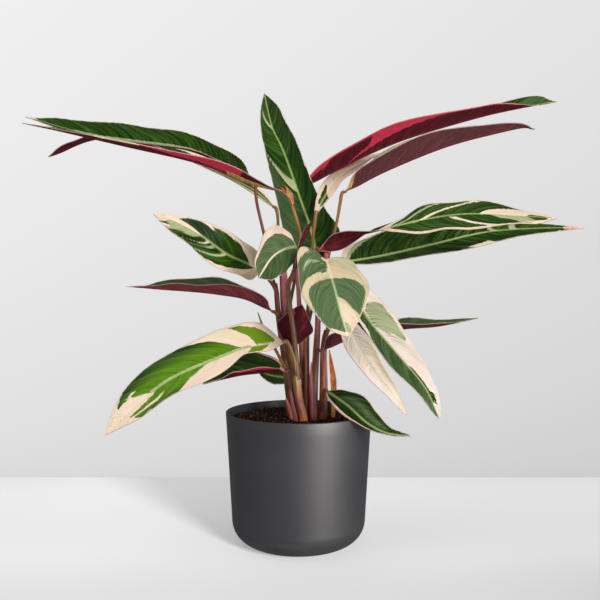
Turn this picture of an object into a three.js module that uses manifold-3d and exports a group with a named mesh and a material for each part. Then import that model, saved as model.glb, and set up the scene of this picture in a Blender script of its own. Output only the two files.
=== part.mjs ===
// A variegated prayer plant (stromanthe) in a dark-grey pot: a thin-walled pot, its filling of compost,
// shoots that stand in holes in the compost, and a leaf blade on the end of every stalk.
// Millimetres, +Z up. The origin is the centre of the pot's underside.
import * as THREE from 'three';
import { mergeVertices } from 'three/addons/utils/BufferGeometryUtils.js';
import Module from 'manifold-3d';

const wasm = await Module();
wasm.setup();

// ---- driving dimensions ---------------------------------------------------------------------
const POT_HEIGHT = 125;
const RIM_RADIUS = 70; // outside, at the top
const FOOT_RADIUS = 64; // outside, where the rounded foot begins
const FOOT_ROUND = 22; // radius of the rounded bottom edge
const WALL = 2.2;
const FLOOR = 3;
const LIP_ROUND = 0.8; // softened edges of the rim
const SOIL_TOP = 117;
const SOIL_RELIEF = 1.1; // height of the lumps in the compost
const GAP = 0.3; // clearance between pieces that rest on each other
const ROOT_DEPTH = 32; // how far a shoot goes down into the compost
const BLADE_THICK = 1; // thickness of a leaf blade
const BLADE_ROWS = 14; // divisions from the base of a blade to its tip
const BLADE_COLUMNS = [-1, -0.5, 0, 0.5, 1]; // left edge, midrib, right edge
const BLADE_STATIONS = [0, 0.1, 0.3, 0.5, 0.7, 0.9, 1]; // where the half-widths are given
const BLADE_STUB = 1.2; // half-width where the blade meets its stalk
const BLADE_TIP = 0.4; // half-width of the pointed tip
const OPEN_WIDTH = 8; // a blade narrower than this opens out flat
const FULL_WAVE_WIDTH = 12; // half-width from which the edge waves reach their full height
const LEFT_PHASE = 0.35; // the two edges don't wave in step
const LOBE_LENGTH = 0.3; // share of the blade over which a lobed base is swept back
const LOBE_PEAK = 6.75; // brings the largest value of t * (1 - t)^2 to 1
const KNEE = 4; // swollen length of stalk under a blade, in line with the midrib
const STALK_RADII = [1.8, 1.5, 1.5, 1.5, 1.8, 1.5]; // from the sheath up to the knee
const STALK_STEP = 9;
const STALK_SIDES = 6;
const SHEATH_SIDES = 8;
const POT_SIDES = 48;

// ---- leaf blades ----------------------------------------------------------------------------
// rib: points along the midrib from base to tip. up: the way the upper face looks, base to tip.
// left, right: half-widths at the inner stations. foldLeft, foldRight: how far each half is raised
// from flat, in degrees, base to tip. wave, waves: height and number of the waves along the edges.
// lobes: how far the left and right edges of the base are swept back. roll: a rolled part at the base.
const BLADES = {
  leaf_upper_left_front: {
    rib: [[-46, 12, 349], [-79, 10, 367], [-112, 10, 379], [-161, 12, 386], [-204, 14, 393],
      [-269, 18, 412]],
    up: [[0, -0.3, 0.95]],
    left: [8, 14, 16, 14, 8], right: [12.5, 15.5, 17, 17.5, 9.5],
    foldLeft: [22, 10, -5], foldRight: [60], wave: 0.6, waves: 3,
  },
  leaf_upper_left_long: {
    rib: [[-9, -10, 333], [-45, -20, 341], [-90, -36, 357], [-155, -66, 368], [-200, -90, 375],
      [-226, -104, 378]],
    up: [[0, 0.1, 1], [0, 0, 1], [0, -0.2, 1]],
    left: [4.5, 16, 11, 6, 3], right: [7, 14, 15, 12, 6],
    foldLeft: [30, 12, 12, 14], foldRight: [40, 22, 18, 10], wave: 0.6, waves: 3,
    roll: [[-6, -10, 322], [-8, -10, 330], [-13, -11, 336], [-20, -13, 338]],
    rollRadii: [1.6, 3.4, 3.6, 2],
  },
  leaf_upper_left_back: {
    rib: [[-25, 20, 324], [-45, 30, 341], [-75, 46, 358], [-136, 72, 388], [-206, 96, 407],
      [-248, 108, 402], [-280, 114, 390]],
    up: [[0, -0.5, 0.8], [0, -0.2, 0.9], [-0.3, 0.2, 0.9]],
    left: [5, 11, 15, 12, 7], right: [5, 11, 15, 12, 7],
    foldLeft: [15], foldRight: [15], wave: 1, waves: 3,
  },
  leaf_top_upright: {
    rib: [[19, 24, 269], [13, 30, 300], [3, 36, 330], [-15, 44, 382], [-27, 45, 408], [-35, 40, 441]],
    up: [[-0.1, -1, 0.1], [-0.1, -1, 0.2]],
    left: [29, 27, 22, 16, 8], right: [27, 21, 16.5, 16, 12],
    foldLeft: [15], foldRight: [8], wave: 1, waves: 3,
  },
  leaf_upper_right_high: {
    rib: [[1, 52, 345], [52, 66, 374], [112, 84, 403], [193, 106, 431], [244, 118, 445],
      [293, 128, 455]],
    up: [[0, 0.1, 1], [0, 0, 1], [0, -0.1, 1], [0, -0.6, 0.8]],
    left: [10, 20, 22, 18, 12], right: [15, 24.5, 20.5, 14, 4],
    foldLeft: [20, 20, 25, 50], foldRight: [45, 48, 40, 20], wave: 1, waves: 3,
  },
  leaf_upper_right_low: {
    rib: [[46, 14, 338], [85, 8, 358], [145, -4, 380.5], [203, -18, 392.5], [220, -22, 391]],
    up: [[0, 0.1, 1], [0, 0.1, 1], [0, 0.2, 1]],
    left: [12, 24, 23, 9, 3], right: [13, 20, 18, 8, 2.5],
    foldLeft: [68, 60, 40], foldRight: [38], wave: 1, waves: 3,
  },
  leaf_cream_back: {
    rib: [[18, 10, 317], [26, 26, 334], [42, 56, 358], [80, 96, 386], [126, 124, 402]],
    up: [[-0.4, -0.8, 0.5], [-0.2, -0.5, 0.9], [0, 0, 1]],
    left: [5, 9, 12, 11, 5], right: [4, 9, 12, 11, 5],
    foldLeft: [12], foldRight: [12], wave: 1, waves: 3,
  },
  leaf_right_twisted: {
    rib: [[20, -12, 279], [50, -20, 291], [88, -34, 299.5], [119, -44, 306], [152, -54, 309],
      [193, -66, 306], [222, -74, 303]],
    up: [[0, 0.9, 0.3], [0, 0.7, 0.7], [0, -0.3, 0.95], [0, -0.5, 0.85], [0, -0.6, 0.8], [0, -0.6, 0.8],
      [0, -0.6, 0.8]],
    left: [10, 9, 18, 17, 6], right: [10, 12, 20, 20, 11],
    foldLeft: [8, 30, 20, 8, 8], foldRight: [5, -16, -14, -4, 5], wave: 1.5, waves: 4,
  },
  leaf_right_long: {
    rib: [[43, -2, 268], [82, 4, 274.5], [130, 14, 285.5], [187, 26, 299], [245, 38, 304],
      [293, 48, 305]],
    up: [[0, -0.7, 0.7]],
    left: [20, 32, 26, 12, 4], right: [9, 11.5, 19, 13, 4],
    foldLeft: [5], foldRight: [5], wave: 1, waves: 3,
    lobes: [10, 0],
  },
  leaf_right_low: {
    rib: [[22, -10, 184], [49, -4, 195], [101, 20, 203], [144, 42, 205], [189, 62, 212]],
    up: [[0, 0, 1]],
    left: [8, 14, 14, 10, 5], right: [11, 15, 13, 9, 4],
    foldLeft: [60, 45, 45], foldRight: [70, 25, 15], wave: 1, waves: 3,
  },
  leaf_left_broad: {
    rib: [[-37, -10, 259], [-48, -20, 266], [-67, -32, 275], [-90, -46, 292], [-109, -58, 302],
      [-126, -68, 308]],
    up: [[0.1, -0.9, 0.4], [0, -0.9, 0.4]],
    left: [13, 16, 17, 14, 8], right: [14, 20, 18, 9, 3],
    foldLeft: [5], foldRight: [5], wave: 1, waves: 3,
  },
  leaf_left_narrow: {
    rib: [[-25, -5, 221], [-50, 2, 233], [-80, 14, 238], [-112, 28, 241], [-146, 42, 243],
      [-180, 56, 245]],
    up: [[0, 0, 1]],
    left: [13, 16.5, 17, 12, 5], right: [8, 15.5, 19.5, 13, 4],
    foldLeft: [68, 40, 26, 24, 24], foldRight: [50], wave: 1, waves: 3,
  },
  leaf_left_large: {
    rib: [[-14, -26, 193], [-43, -42, 190], [-66, -56, 183], [-110, -80, 165], [-140, -98, 140],
      [-158, -108, 123]],
    up: [[0, -0.75, 0.65], [-0.1, -0.8, 0.6], [-0.2, -0.8, 0.5]],
    left: [8, 8, 19, 15, 6], right: [23, 27, 24, 20, 9],
    foldLeft: [8], foldRight: [8], wave: 1, waves: 3,
  },
  leaf_left_low: {
    rib: [[-12, -10, 164], [-32, -13, 164], [-55, -18, 162], [-73, -22, 158], [-89, -27, 154]],
    up: [[0, -0.3, 0.9]],
    left: [8, 9.5, 9, 6, 3], right: [12, 22, 22, 14, 7],
    foldLeft: [50], foldRight: [40], wave: 1, waves: 3,
  },
  leaf_left_hidden: {
    rib: [[-7, 20, 154], [-17, 36, 153], [-29, 52, 153], [-42, 70, 155]],
    up: [[-0.2, -0.9, 0.4]],
    left: [6, 9, 9, 7, 4], right: [9, 16, 18, 14, 6],
    foldLeft: [10], foldRight: [10], wave: 1, waves: 3,
  },
  leaf_young_rolled: {
    rib: [[-2, -24, 282], [-13, -46, 278], [-24, -66, 269], [-34, -80, 252]],
    up: [[0.77, -0.5, 0.35]],
    left: [8, 14, 17, 17, 12], right: [12, 22, 23, 18, 12],
    foldLeft: [10], foldRight: [10], wave: 1, waves: 3,
    roll: [[-4, -24, 260], [-2, -24, 272], [2, -23, 285], [7, -22, 296], [13, -21, 306]],
    rollRadii: [1.8, 2.4, 2.4, 2.3, 1.8],
  },
  leaf_centre_front: {
    rib: [[25, -36, 270], [28, -60, 256], [32, -80, 239], [36, -94, 220], [41, -100, 203]],
    up: [[0, -0.3, 0.95], [0, -0.8, 0.5], [0, -0.95, 0.1]],
    left: [20, 25, 29.5, 21, 10], right: [27, 30, 30, 22, 10.5],
    foldLeft: [8], foldRight: [40, 18, 8, 8, 8], wave: 1, waves: 3,
    lobes: [6, 7],
  },
  leaf_drooping_cream: {
    rib: [[41, -26, 221], [51, -58, 196], [64, -82, 172], [78, -96, 155], [89, -104, 139]],
    up: [[0, -0.9, 0.4], [0, -0.95, 0.2]],
    left: [7, 12, 10, 7, 3], right: [8, 12, 8, 5, 2.5],
    foldLeft: [12], foldRight: [12], wave: 1, waves: 3,
  },
  leaf_drooping_large: {
    rib: [[48, -10, 247], [65, -22, 215], [90, -34, 184], [114, -44, 154], [127, -50, 125]],
    up: [[0, -0.9, 0.4], [0, -0.95, 0.3]],
    left: [16, 21, 17, 11, 6], right: [8, 10, 14, 11, 5],
    foldLeft: [10], foldRight: [10], wave: 1, waves: 3,
  },
  leaf_maroon_inner: {
    rib: [[-7, -10, 188], [-5, -11, 200], [-2, -12, 213], [3, -14, 228]],
    up: [[0, 0.9, 0.3], [0, 0.8, 0.4]],
    left: [8, 15, 19, 14, 6], right: [7, 14, 17.5, 12, 5],
    foldLeft: [14], foldRight: [14], wave: 1, waves: 3,
  },
  leaf_over_rim: {
    rib: [[27, -18, 146], [45, -42, 136], [61, -54, 123], [78, -62, 115.5], [99, -66, 113.5]],
    up: [[0, -0.75, 0.65], [0, -0.75, 0.65], [0, -0.8, 0.6]],
    left: [11, 16.5, 14, 8, 3], right: [8, 11, 6, 2.5, 1.2],
    foldLeft: [10], foldRight: [10], wave: 1, waves: 3,
  },
};

// ---- shoots ---------------------------------------------------------------------------------
// root: where the shoot stands in the compost. sheath: the clasping leaf bases above it, with their
// radii from the root up. clasps: more leaf bases that clasp the shoot. stalks: the stalk of each blade,
// from inside the sheath to near the blade. stout: how much thicker than the others some stalks are.
const SHOOTS = {
  stem_left: {
    colour: 0x7a5a40, root: [-4, -1],
    sheath: [[-9, -1, 140], [-14.5, 1, 182], [-19, 3, 212], [-22, 4, 248]],
    radii: [3.8, 3.8, 3.5, 3, 2.7, 2.4],
    clasps: [
      { path: [[-6, -4, 119], [-10, -6, 124], [-12.5, -6, 134]], radii: [2.6, 2, 0.5] },
      { path: [[-13, -3, 166], [-22, -5, 184], [-33, -6, 204], [-39, -6, 220]], radii: [1.8, 1.5, 1.3, 0.5] },
    ],
    stalks: {
      leaf_upper_left_front: [[-18, 2, 203], [-23, 4, 244], [-33, 12, 292], [-41, 14, 327]],
      leaf_left_narrow: [[-15, 1, 188], [-18, -2, 203], [-19.5, -4, 213]],
      leaf_left_broad: [[-18, 2, 215], [-22, -2, 240], [-29, -7, 252]],
    },
  },
  stem_back: {
    colour: 0xb06a72, root: [0, 9],
    sheath: [[-5, 10, 148], [-10, 10, 188], [-12, 10, 227]],
    radii: [4, 4, 4, 3.6, 3.2],
    clasps: [
      { path: [[-6, 8, 150], [-9, 7, 190], [-13, 6, 222], [-15.5, 7, 266]], radii: [3.4, 4, 4.4, 4.4, 3.6] },
    ],
    stalks: {
      leaf_upper_left_back: [[-13, 10, 214], [-18, 14, 261], [-20, 15, 293], [-20.5, 17.5, 312]],
      leaf_upper_left_long: [[-11, 10, 214], [-3, 6, 256], [2, -2, 287], [-0.5, -7, 304]],
      leaf_left_hidden: [[-3, 9, 129], [-5, 12, 143]],
    },
  },
  stem_front: {
    colour: 0xa9754e, root: [5, -13],
    sheath: [[1, -14, 137], [-2, -17, 164]],
    radii: [4.2, 4.2, 3.8, 3],
    stout: { leaf_young_rolled: 1.6 },
    stalks: {
      leaf_left_large: [[-1, -16, 152], [-3, -19, 172], [-6.5, -22, 184]],
      leaf_young_rolled: [[-1, -16, 157], [-4, -20, 197], [-8.5, -22, 229], [-9.5, -21, 246]],
    },
  },
  stem_low: {
    colour: 0x8a5f74, root: [-3, -11],
    sheath: [[-6, -10, 137], [-8, -10, 150]],
    radii: [3.2, 3.2, 2.8, 2.2],
    clasps: [
      { path: [[-6, -11, 119], [-9, -11, 128], [-12, -10, 139]], radii: [2.4, 2.4, 0.6] },
    ],
    stalks: {
      leaf_left_low: [[-7, -10, 148]],
    },
  },
  stem_centre: {
    colour: 0x96636b, root: [8, 1],
    sheath: [[7, 2, 145], [7, 4, 178], [8, 8, 214]],
    radii: [4.5, 4.5, 4.2, 3.6, 2.8],
    clasps: [
      { path: [[4, 5, 160], [2, 4, 200], [0, 2, 235], [-2, 0, 262]], radii: [3, 2.6, 2.2, 1.6] },
      { path: [[8, -3, 121], [7.5, -5, 150], [7, -6, 183]], radii: [3, 2.6, 0.5] },
    ],
    stalks: {
      leaf_top_upright: [[8, 7, 202], [15, 15, 232]],
      leaf_upper_right_high: [[8, 8, 198], [10, 30, 231], [10, 48, 270], [3, 56, 319]],
      leaf_cream_back: [[8, 7, 202], [10, 6, 241], [13, 9, 282]],
      leaf_maroon_inner: [[6, 2, 145], [0, -6, 169]],
    },
  },
  stem_inner_right: {
    colour: 0xb5747a, root: [15, -7],
    sheath: [[15, -7, 146], [17, -6, 184], [19, -5, 215]],
    radii: [3.8, 3.8, 3.6, 3.2, 2.6],
    clasps: [
      { path: [[13, -9, 121], [12, -11, 148], [12, -12, 173]], radii: [2.6, 2.2, 0.5] },
    ],
    stalks: {
      leaf_upper_right_low: [[19, -5, 208], [22, 4, 237], [29, 12, 273], [37, 14, 306], [40.5, 14.5, 325]],
      leaf_right_twisted: [[19, -5, 208], [15, -8, 237]],
      leaf_right_long: [[19, -5, 208], [26, 2, 237]],
      leaf_centre_front: [[17, -6, 189], [18, -14, 232]],
      leaf_right_low: [[15, -7, 151], [16, -9, 169]],
    },
  },
  stem_right: {
    colour: 0xa87556, root: [23, -1],
    sheath: [[24, 0, 144], [24, 2, 181], [26, 1, 203]],
    radii: [4.4, 4.4, 4.2, 3.4, 2.4],
    stalks: {
      leaf_drooping_large: [[26, 1, 193], [33, 2, 229]],
      leaf_drooping_cream: [[25, 1, 179], [28, -4, 201]],
      leaf_over_rim: [[23, -2, 121], [22, -8, 135]],
    },
  },
};

// The dried, papery sheath of an old leaf, which stands among the stems.
const DRY_SHEATH = {
  rib: [[33, 6, 100], [34, 7, 130], [34, 9, 151], [32, 9, 168], [30, 8, 183]],
  up: [[0.3, -1, 0]],
  left: [1.5, 2.4, 3.2, 2.4, 1.2], right: [1.5, 2.4, 3.2, 2.4, 1.2],
  foldLeft: [35], foldRight: [35], wave: 0, waves: 1,
};

// ---- shared helpers -------------------------------------------------------------------------
const vector = (p) => new THREE.Vector3(...p);
const curveThrough = (points) =>
  new THREE.CatmullRomCurve3(points.map((p) => (p.isVector3 ? p : vector(p))), false, 'catmullrom', 0.5);

// The value at u of a list spread evenly from 0 to 1, in straight steps.
function along(list, u) {
  const at = u * (list.length - 1);
  const i = Math.min(Math.floor(at), Math.max(list.length - 2, 0));
  const next = list[Math.min(i + 1, list.length - 1)];
  const mix = (a, b) => a + (b - a) * (at - i);
  return Array.isArray(next) ? next.map((b, k) => mix(list[i][k], b)) : mix(list[i], next);
}

// A smooth curve through values given at the blade's stations.
function halfWidth(widths, u) {
  const x = BLADE_STATIONS;
  const y = [BLADE_STUB, ...widths, BLADE_TIP];
  const last = x.length - 1;
  const slope = (k) => {
    const a = Math.max(k - 1, 0);
    const b = Math.min(k + 1, last);
    return (y[b] - y[a]) / (x[b] - x[a]);
  };
  let i = 0;
  while (i < last - 1 && u > x[i + 1]) i += 1;
  const h = x[i + 1] - x[i];
  const t = (u - x[i]) / h;
  const start = (1 + 2 * t) * (1 - t) ** 2 * y[i] + t * (1 - t) ** 2 * h * slope(i);
  const end = t * t * (3 - 2 * t) * y[i + 1] + t * t * (t - 1) * h * slope(i + 1);
  return Math.max(start + end, BLADE_TIP);
}

function solidOf(geometry) {
  const bare = new THREE.BufferGeometry();
  const flat = geometry.index ? geometry.toNonIndexed() : geometry;
  bare.setAttribute('position', flat.getAttribute('position'));
  const welded = mergeVertices(bare, 1e-4);
  return new wasm.Manifold(new wasm.Mesh({
    numProp: 3,
    vertProperties: welded.getAttribute('position').array,
    triVerts: new Uint32Array(welded.index.array),
  }));
}

function geometryOf(solid) {
  const { vertProperties, triVerts } = solid.getMesh();
  const geometry = new THREE.BufferGeometry();
  geometry.setAttribute('position', new THREE.BufferAttribute(new Float32Array(vertProperties), 3));
  geometry.setIndex(new THREE.BufferAttribute(new Uint32Array(triVerts), 1));
  geometry.computeVertexNormals();
  return geometry;
}

// ---- blade ----------------------------------------------------------------------------------
// One row of a blade at u: for each column, the middle of the sheet and the offset to its upper face.
function bladeRow(blade, rib, u) {
  const middle = rib.getPoint(u);
  const forward = rib.getTangent(u);
  const side = new THREE.Vector3().crossVectors(forward, vector(along(blade.up, u))).normalize();
  const normal = new THREE.Vector3().crossVectors(side, forward);
  const halves = [
    { sign: -1, width: halfWidth(blade.left, u), fold: along(blade.foldLeft, u), phase: LEFT_PHASE },
    { sign: 1, width: halfWidth(blade.right, u), fold: along(blade.foldRight, u), phase: 0 },
  ].map((half, k) => {
    const angle = THREE.MathUtils.degToRad(half.fold) * Math.min(1, half.width / OPEN_WIDTH);
    const outward = side.clone().multiplyScalar(half.sign * Math.cos(angle));
    outward.addScaledVector(normal, Math.sin(angle));
    const face = normal.clone().multiplyScalar(Math.cos(angle));
    face.addScaledVector(side, -half.sign * Math.sin(angle));
    const reach = Math.min(1, u / LOBE_LENGTH);
    const swept = (blade.lobes?.[k] ?? 0) * LOBE_PEAK * reach * (1 - reach) ** 2;
    return { ...half, outward, face, swept };
  });
  const crease = halves[0].face.clone().add(halves[1].face);
  crease.multiplyScalar(2 / crease.lengthSq());
  return BLADE_COLUMNS.map((v) => {
    if (v === 0) return { at: middle, offset: crease };
    const half = halves[v < 0 ? 0 : 1];
    const ripple = Math.sin(2 * Math.PI * (blade.waves * u + half.phase));
    const lift = blade.wave * ripple * v * v * Math.min(1, half.width / FULL_WAVE_WIDTH);
    const at = middle.clone().addScaledVector(half.outward, Math.abs(v) * half.width);
    at.addScaledVector(forward, -half.swept * v * v);
    return { at: at.addScaledVector(normal, lift), offset: half.face };
  });
}

// A closed sheet: the upper and lower faces are split into triangles alike, with a rim between them.
function bladeGeometry(blade) {
  const rib = curveThrough(blade.rib);
  const columns = BLADE_COLUMNS.length;
  const upper = [];
  const lower = [];
  for (let row = 0; row <= BLADE_ROWS; row += 1) {
    for (const { at, offset } of bladeRow(blade, rib, row / BLADE_ROWS)) {
      upper.push(at.clone().addScaledVector(offset, BLADE_THICK / 2));
      lower.push(at.clone().addScaledVector(offset, -BLADE_THICK / 2));
    }
  }
  const count = upper.length;
  const index = [];
  const quad = (a, b, c, d) => index.push(a, b, c, a, c, d);
  for (let row = 0; row < BLADE_ROWS; row += 1) {
    for (let column = 0; column < columns - 1; column += 1) {
      const a = row * columns + column;
      quad(a, a + 1, a + columns + 1, a + columns);
      index.push(count + a, count + a + columns + 1, count + a + 1);
      index.push(count + a, count + a + columns, count + a + columns + 1);
    }
    const left = row * columns;
    const right = left + columns - 1;
    quad(left, left + columns, count + left + columns, count + left);
    quad(right + columns, right, count + right, count + right + columns);
  }
  const tip = BLADE_ROWS * columns;
  for (let column = 0; column < columns - 1; column += 1) {
    quad(column + 1, column, count + column, count + column + 1);
    quad(tip + column, tip + column + 1, count + tip + column + 1, count + tip + column);
  }
  const geometry = new THREE.BufferGeometry().setFromPoints([...upper, ...lower]);
  geometry.setIndex(index);
  return geometry;
}

// ---- stalks and shoots ----------------------------------------------------------------------
// A tapered tube: a regular section of unit radius extruded along the path, then each ring of it
// grown to the radius wanted there.
function tubeGeometry(points, radii, sides) {
  const path = curveThrough(points);
  const steps = Math.max(3, Math.round(path.getLength() / STALK_STEP));
  const centres = path.getSpacedPoints(steps);
  const section = new THREE.Shape();
  for (let k = 0; k < sides; k += 1) {
    const turn = (2 * Math.PI * k) / sides;
    if (k === 0) section.moveTo(1, 0);
    else section.lineTo(Math.cos(turn), Math.sin(turn));
  }
  const geometry = new THREE.ExtrudeGeometry(section, { steps, extrudePath: path, bevelEnabled: false });
  const position = geometry.getAttribute('position');
  const corner = new THREE.Vector3();
  for (let i = 0; i < position.count; i += 1) {
    corner.fromBufferAttribute(position, i);
    let ring = 0;
    for (let k = 1; k <= steps; k += 1) {
      if (corner.distanceToSquared(centres[k]) < corner.distanceToSquared(centres[ring])) ring = k;
    }
    corner.sub(centres[ring]).multiplyScalar(along(radii, ring / steps)).add(centres[ring]);
    position.setXYZ(i, corner.x, corner.y, corner.z);
  }
  return geometry;
}

// The last points of a stalk: the knee runs in line with what it carries and stops just short of it.
function kneePoints(blade) {
  const seat = curveThrough(blade.roll ?? blade.rib);
  const start = seat.getPoint(0);
  const forward = seat.getTangent(0);
  return [KNEE, GAP].map((back) => start.clone().addScaledVector(forward, -back));
}

function shootGeometry(shoot) {
  const root = [[...shoot.root, SOIL_TOP - ROOT_DEPTH], [...shoot.root, SOIL_TOP]];
  let solid = solidOf(tubeGeometry([...root, ...shoot.sheath], shoot.radii, SHEATH_SIDES));
  for (const { path, radii } of shoot.clasps ?? []) {
    solid = solid.add(solidOf(tubeGeometry(path, radii, SHEATH_SIDES)));
  }
  for (const [name, points] of Object.entries(shoot.stalks)) {
    const path = [...points, ...kneePoints(BLADES[name])];
    const stout = shoot.stout?.[name] ?? 1;
    const radii = STALK_RADII.map((radius) => radius * stout);
    solid = solid.add(solidOf(tubeGeometry(path, radii, STALK_SIDES)));
  }
  return geometryOf(solid);
}

function leafGeometry(blade) {
  if (!blade.roll) return bladeGeometry(blade);
  const rolled = solidOf(tubeGeometry(blade.roll, blade.rollRadii, SHEATH_SIDES));
  return geometryOf(solidOf(bladeGeometry(blade)).add(rolled));
}

// ---- pot and compost ------------------------------------------------------------------------
const wallRadius = (z) => {
  const share = (z - FOOT_ROUND) / (POT_HEIGHT - FOOT_ROUND);
  return FOOT_RADIUS + (RIM_RADIUS - FOOT_RADIUS) * share;
};

// Points of a rounded corner of a profile, from the underside up to the wall.
function roundedFoot(radius, bottom, round, steps) {
  return Array.from({ length: steps + 1 }, (_, k) => {
    const turn = (Math.PI / 2) * (k / steps);
    return new THREE.Vector2(radius - round + round * Math.sin(turn), bottom + round * (1 - Math.cos(turn)));
  });
}

function potGeometry() {
  const inner = FOOT_RADIUS - WALL;
  const profile = [
    new THREE.Vector2(0, 0),
    ...roundedFoot(FOOT_RADIUS, 0, FOOT_ROUND, 6),
    new THREE.Vector2(RIM_RADIUS, POT_HEIGHT - LIP_ROUND),
    new THREE.Vector2(RIM_RADIUS - LIP_ROUND, POT_HEIGHT),
    new THREE.Vector2(RIM_RADIUS - WALL + LIP_ROUND, POT_HEIGHT),
    new THREE.Vector2(RIM_RADIUS - WALL, POT_HEIGHT - LIP_ROUND),
    ...roundedFoot(inner, FLOOR, FOOT_ROUND - FLOOR, 5).reverse(),
    new THREE.Vector2(0, FLOOR),
  ];
  return new THREE.LatheGeometry(profile, POT_SIDES);
}

// The lumpy top of the compost, as a height above its mean level.
const lumps = (x, y) => SOIL_RELIEF * (0.5 * Math.sin(0.31 * x + 0.9) * Math.cos(0.27 * y)
  + 0.5 * Math.sin(0.13 * x - 0.21 * y + 2));

function soilGeometry() {
  const inner = FOOT_RADIUS - WALL - GAP;
  const edge = wallRadius(SOIL_TOP) - WALL - GAP;
  const profile = [
    new THREE.Vector2(0, FLOOR + GAP),
    ...roundedFoot(inner, FLOOR + GAP, FOOT_ROUND - FLOOR - GAP, 4),
    ...[1, 0.85, 0.65, 0.4, 0.18, 0].map((share) => new THREE.Vector2(edge * share, SOIL_TOP)),
  ];
  const geometry = new THREE.LatheGeometry(profile, POT_SIDES / 2);
  const position = geometry.getAttribute('position');
  for (let i = 0; i < position.count; i += 1) {
    const [x, height, y] = [position.getX(i), position.getY(i), position.getZ(i)];
    if (height > SOIL_TOP - 1 && Math.hypot(x, y) < edge - 1) position.setY(i, height + lumps(x, y));
  }
  const hole = (centre, radius) => {
    const depth = ROOT_DEPTH + 2 * SOIL_RELIEF;
    const cylinder = new THREE.CylinderGeometry(radius, radius, 2 * depth, 12);
    cylinder.rotateX(Math.PI / 2).translate(centre[0], centre[1], SOIL_TOP - ROOT_DEPTH - GAP + depth);
    return solidOf(cylinder);
  };
  let solid = solidOf(geometry.rotateX(Math.PI / 2));
  for (const { root, radii } of Object.values(SHOOTS)) {
    solid = solid.subtract(hole(root, radii[0] + 2 * GAP));
  }
  return geometryOf(solid.subtract(hole(DRY_SHEATH.rib[0], 3)));
}

// ---- scene ----------------------------------------------------------------------------------
const plant = new THREE.Group();

function addPiece(name, geometry, color, roughness) {
  const mesh = new THREE.Mesh(geometry, new THREE.MeshStandardMaterial({ color, roughness, metalness: 0 }));
  mesh.name = name;
  plant.add(mesh);
}

addPiece('pot', potGeometry().rotateX(Math.PI / 2), 0x3b3c40, 0.45);
addPiece('soil', soilGeometry(), 0x2e2017, 0.95);
for (const [name, shoot] of Object.entries(SHOOTS)) {
  addPiece(name, shootGeometry(shoot), shoot.colour, 0.55);
}
for (const [name, blade] of Object.entries(BLADES)) {
  addPiece(name, leafGeometry(blade), 0x4f7d43, 0.5);
}
addPiece('dry_sheath', bladeGeometry(DRY_SHEATH), 0xb0702e, 0.8);

export default plant;
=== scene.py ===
# %% [markdown]
# # A variegated prayer plant in a dark-grey pot
# The plant is a tight clump of shoots. Each shoot is a bundle of clasping sheaths, and thin stalks leave
# the sheaths to carry one lance-shaped blade each. A blade is green, cream and pink above and maroon
# beneath. Everything here is laid over the solids of the part, so it is measured in the same frame:
# +Z is up, and the origin is the middle of the pot's underside.

# %% Load the frame
import math

import bpy
import numpy as np
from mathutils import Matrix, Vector, noise


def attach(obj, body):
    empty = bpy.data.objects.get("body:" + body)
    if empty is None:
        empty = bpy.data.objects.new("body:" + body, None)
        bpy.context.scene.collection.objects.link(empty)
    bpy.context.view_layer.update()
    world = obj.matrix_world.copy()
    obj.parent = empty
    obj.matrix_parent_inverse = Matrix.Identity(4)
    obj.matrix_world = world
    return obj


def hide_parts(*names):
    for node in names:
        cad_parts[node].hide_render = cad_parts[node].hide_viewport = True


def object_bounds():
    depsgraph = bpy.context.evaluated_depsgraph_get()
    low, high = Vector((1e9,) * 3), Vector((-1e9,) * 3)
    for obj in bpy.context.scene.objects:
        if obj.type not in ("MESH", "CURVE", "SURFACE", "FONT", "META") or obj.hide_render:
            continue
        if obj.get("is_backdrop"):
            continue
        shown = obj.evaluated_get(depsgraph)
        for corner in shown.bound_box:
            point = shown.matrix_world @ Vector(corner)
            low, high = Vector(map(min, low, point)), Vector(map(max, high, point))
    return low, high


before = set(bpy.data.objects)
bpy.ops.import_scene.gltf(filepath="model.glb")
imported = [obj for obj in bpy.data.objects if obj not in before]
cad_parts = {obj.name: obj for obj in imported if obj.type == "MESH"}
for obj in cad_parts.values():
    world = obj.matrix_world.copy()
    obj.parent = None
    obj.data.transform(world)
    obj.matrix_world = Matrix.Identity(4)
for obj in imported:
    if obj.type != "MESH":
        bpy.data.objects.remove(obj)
cad_box = [list(corner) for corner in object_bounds()]
MM = 0.001
print("frame:", len(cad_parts), "solids, box", [[round(x, 3) for x in corner] for corner in cad_box])

# %% [markdown]
# ## Expressions for node trees
# Materials and Geometry Nodes trees are both graphs of small nodes, and long sums are hard to read as
# nodes. Two small classes let the sums be written as Python: a Wire is one output socket, and arithmetic
# on it adds Math or Vector Math nodes. Every other node comes from Graph.add, which sets the node's own
# settings first, because they decide which sockets it has.


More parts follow.
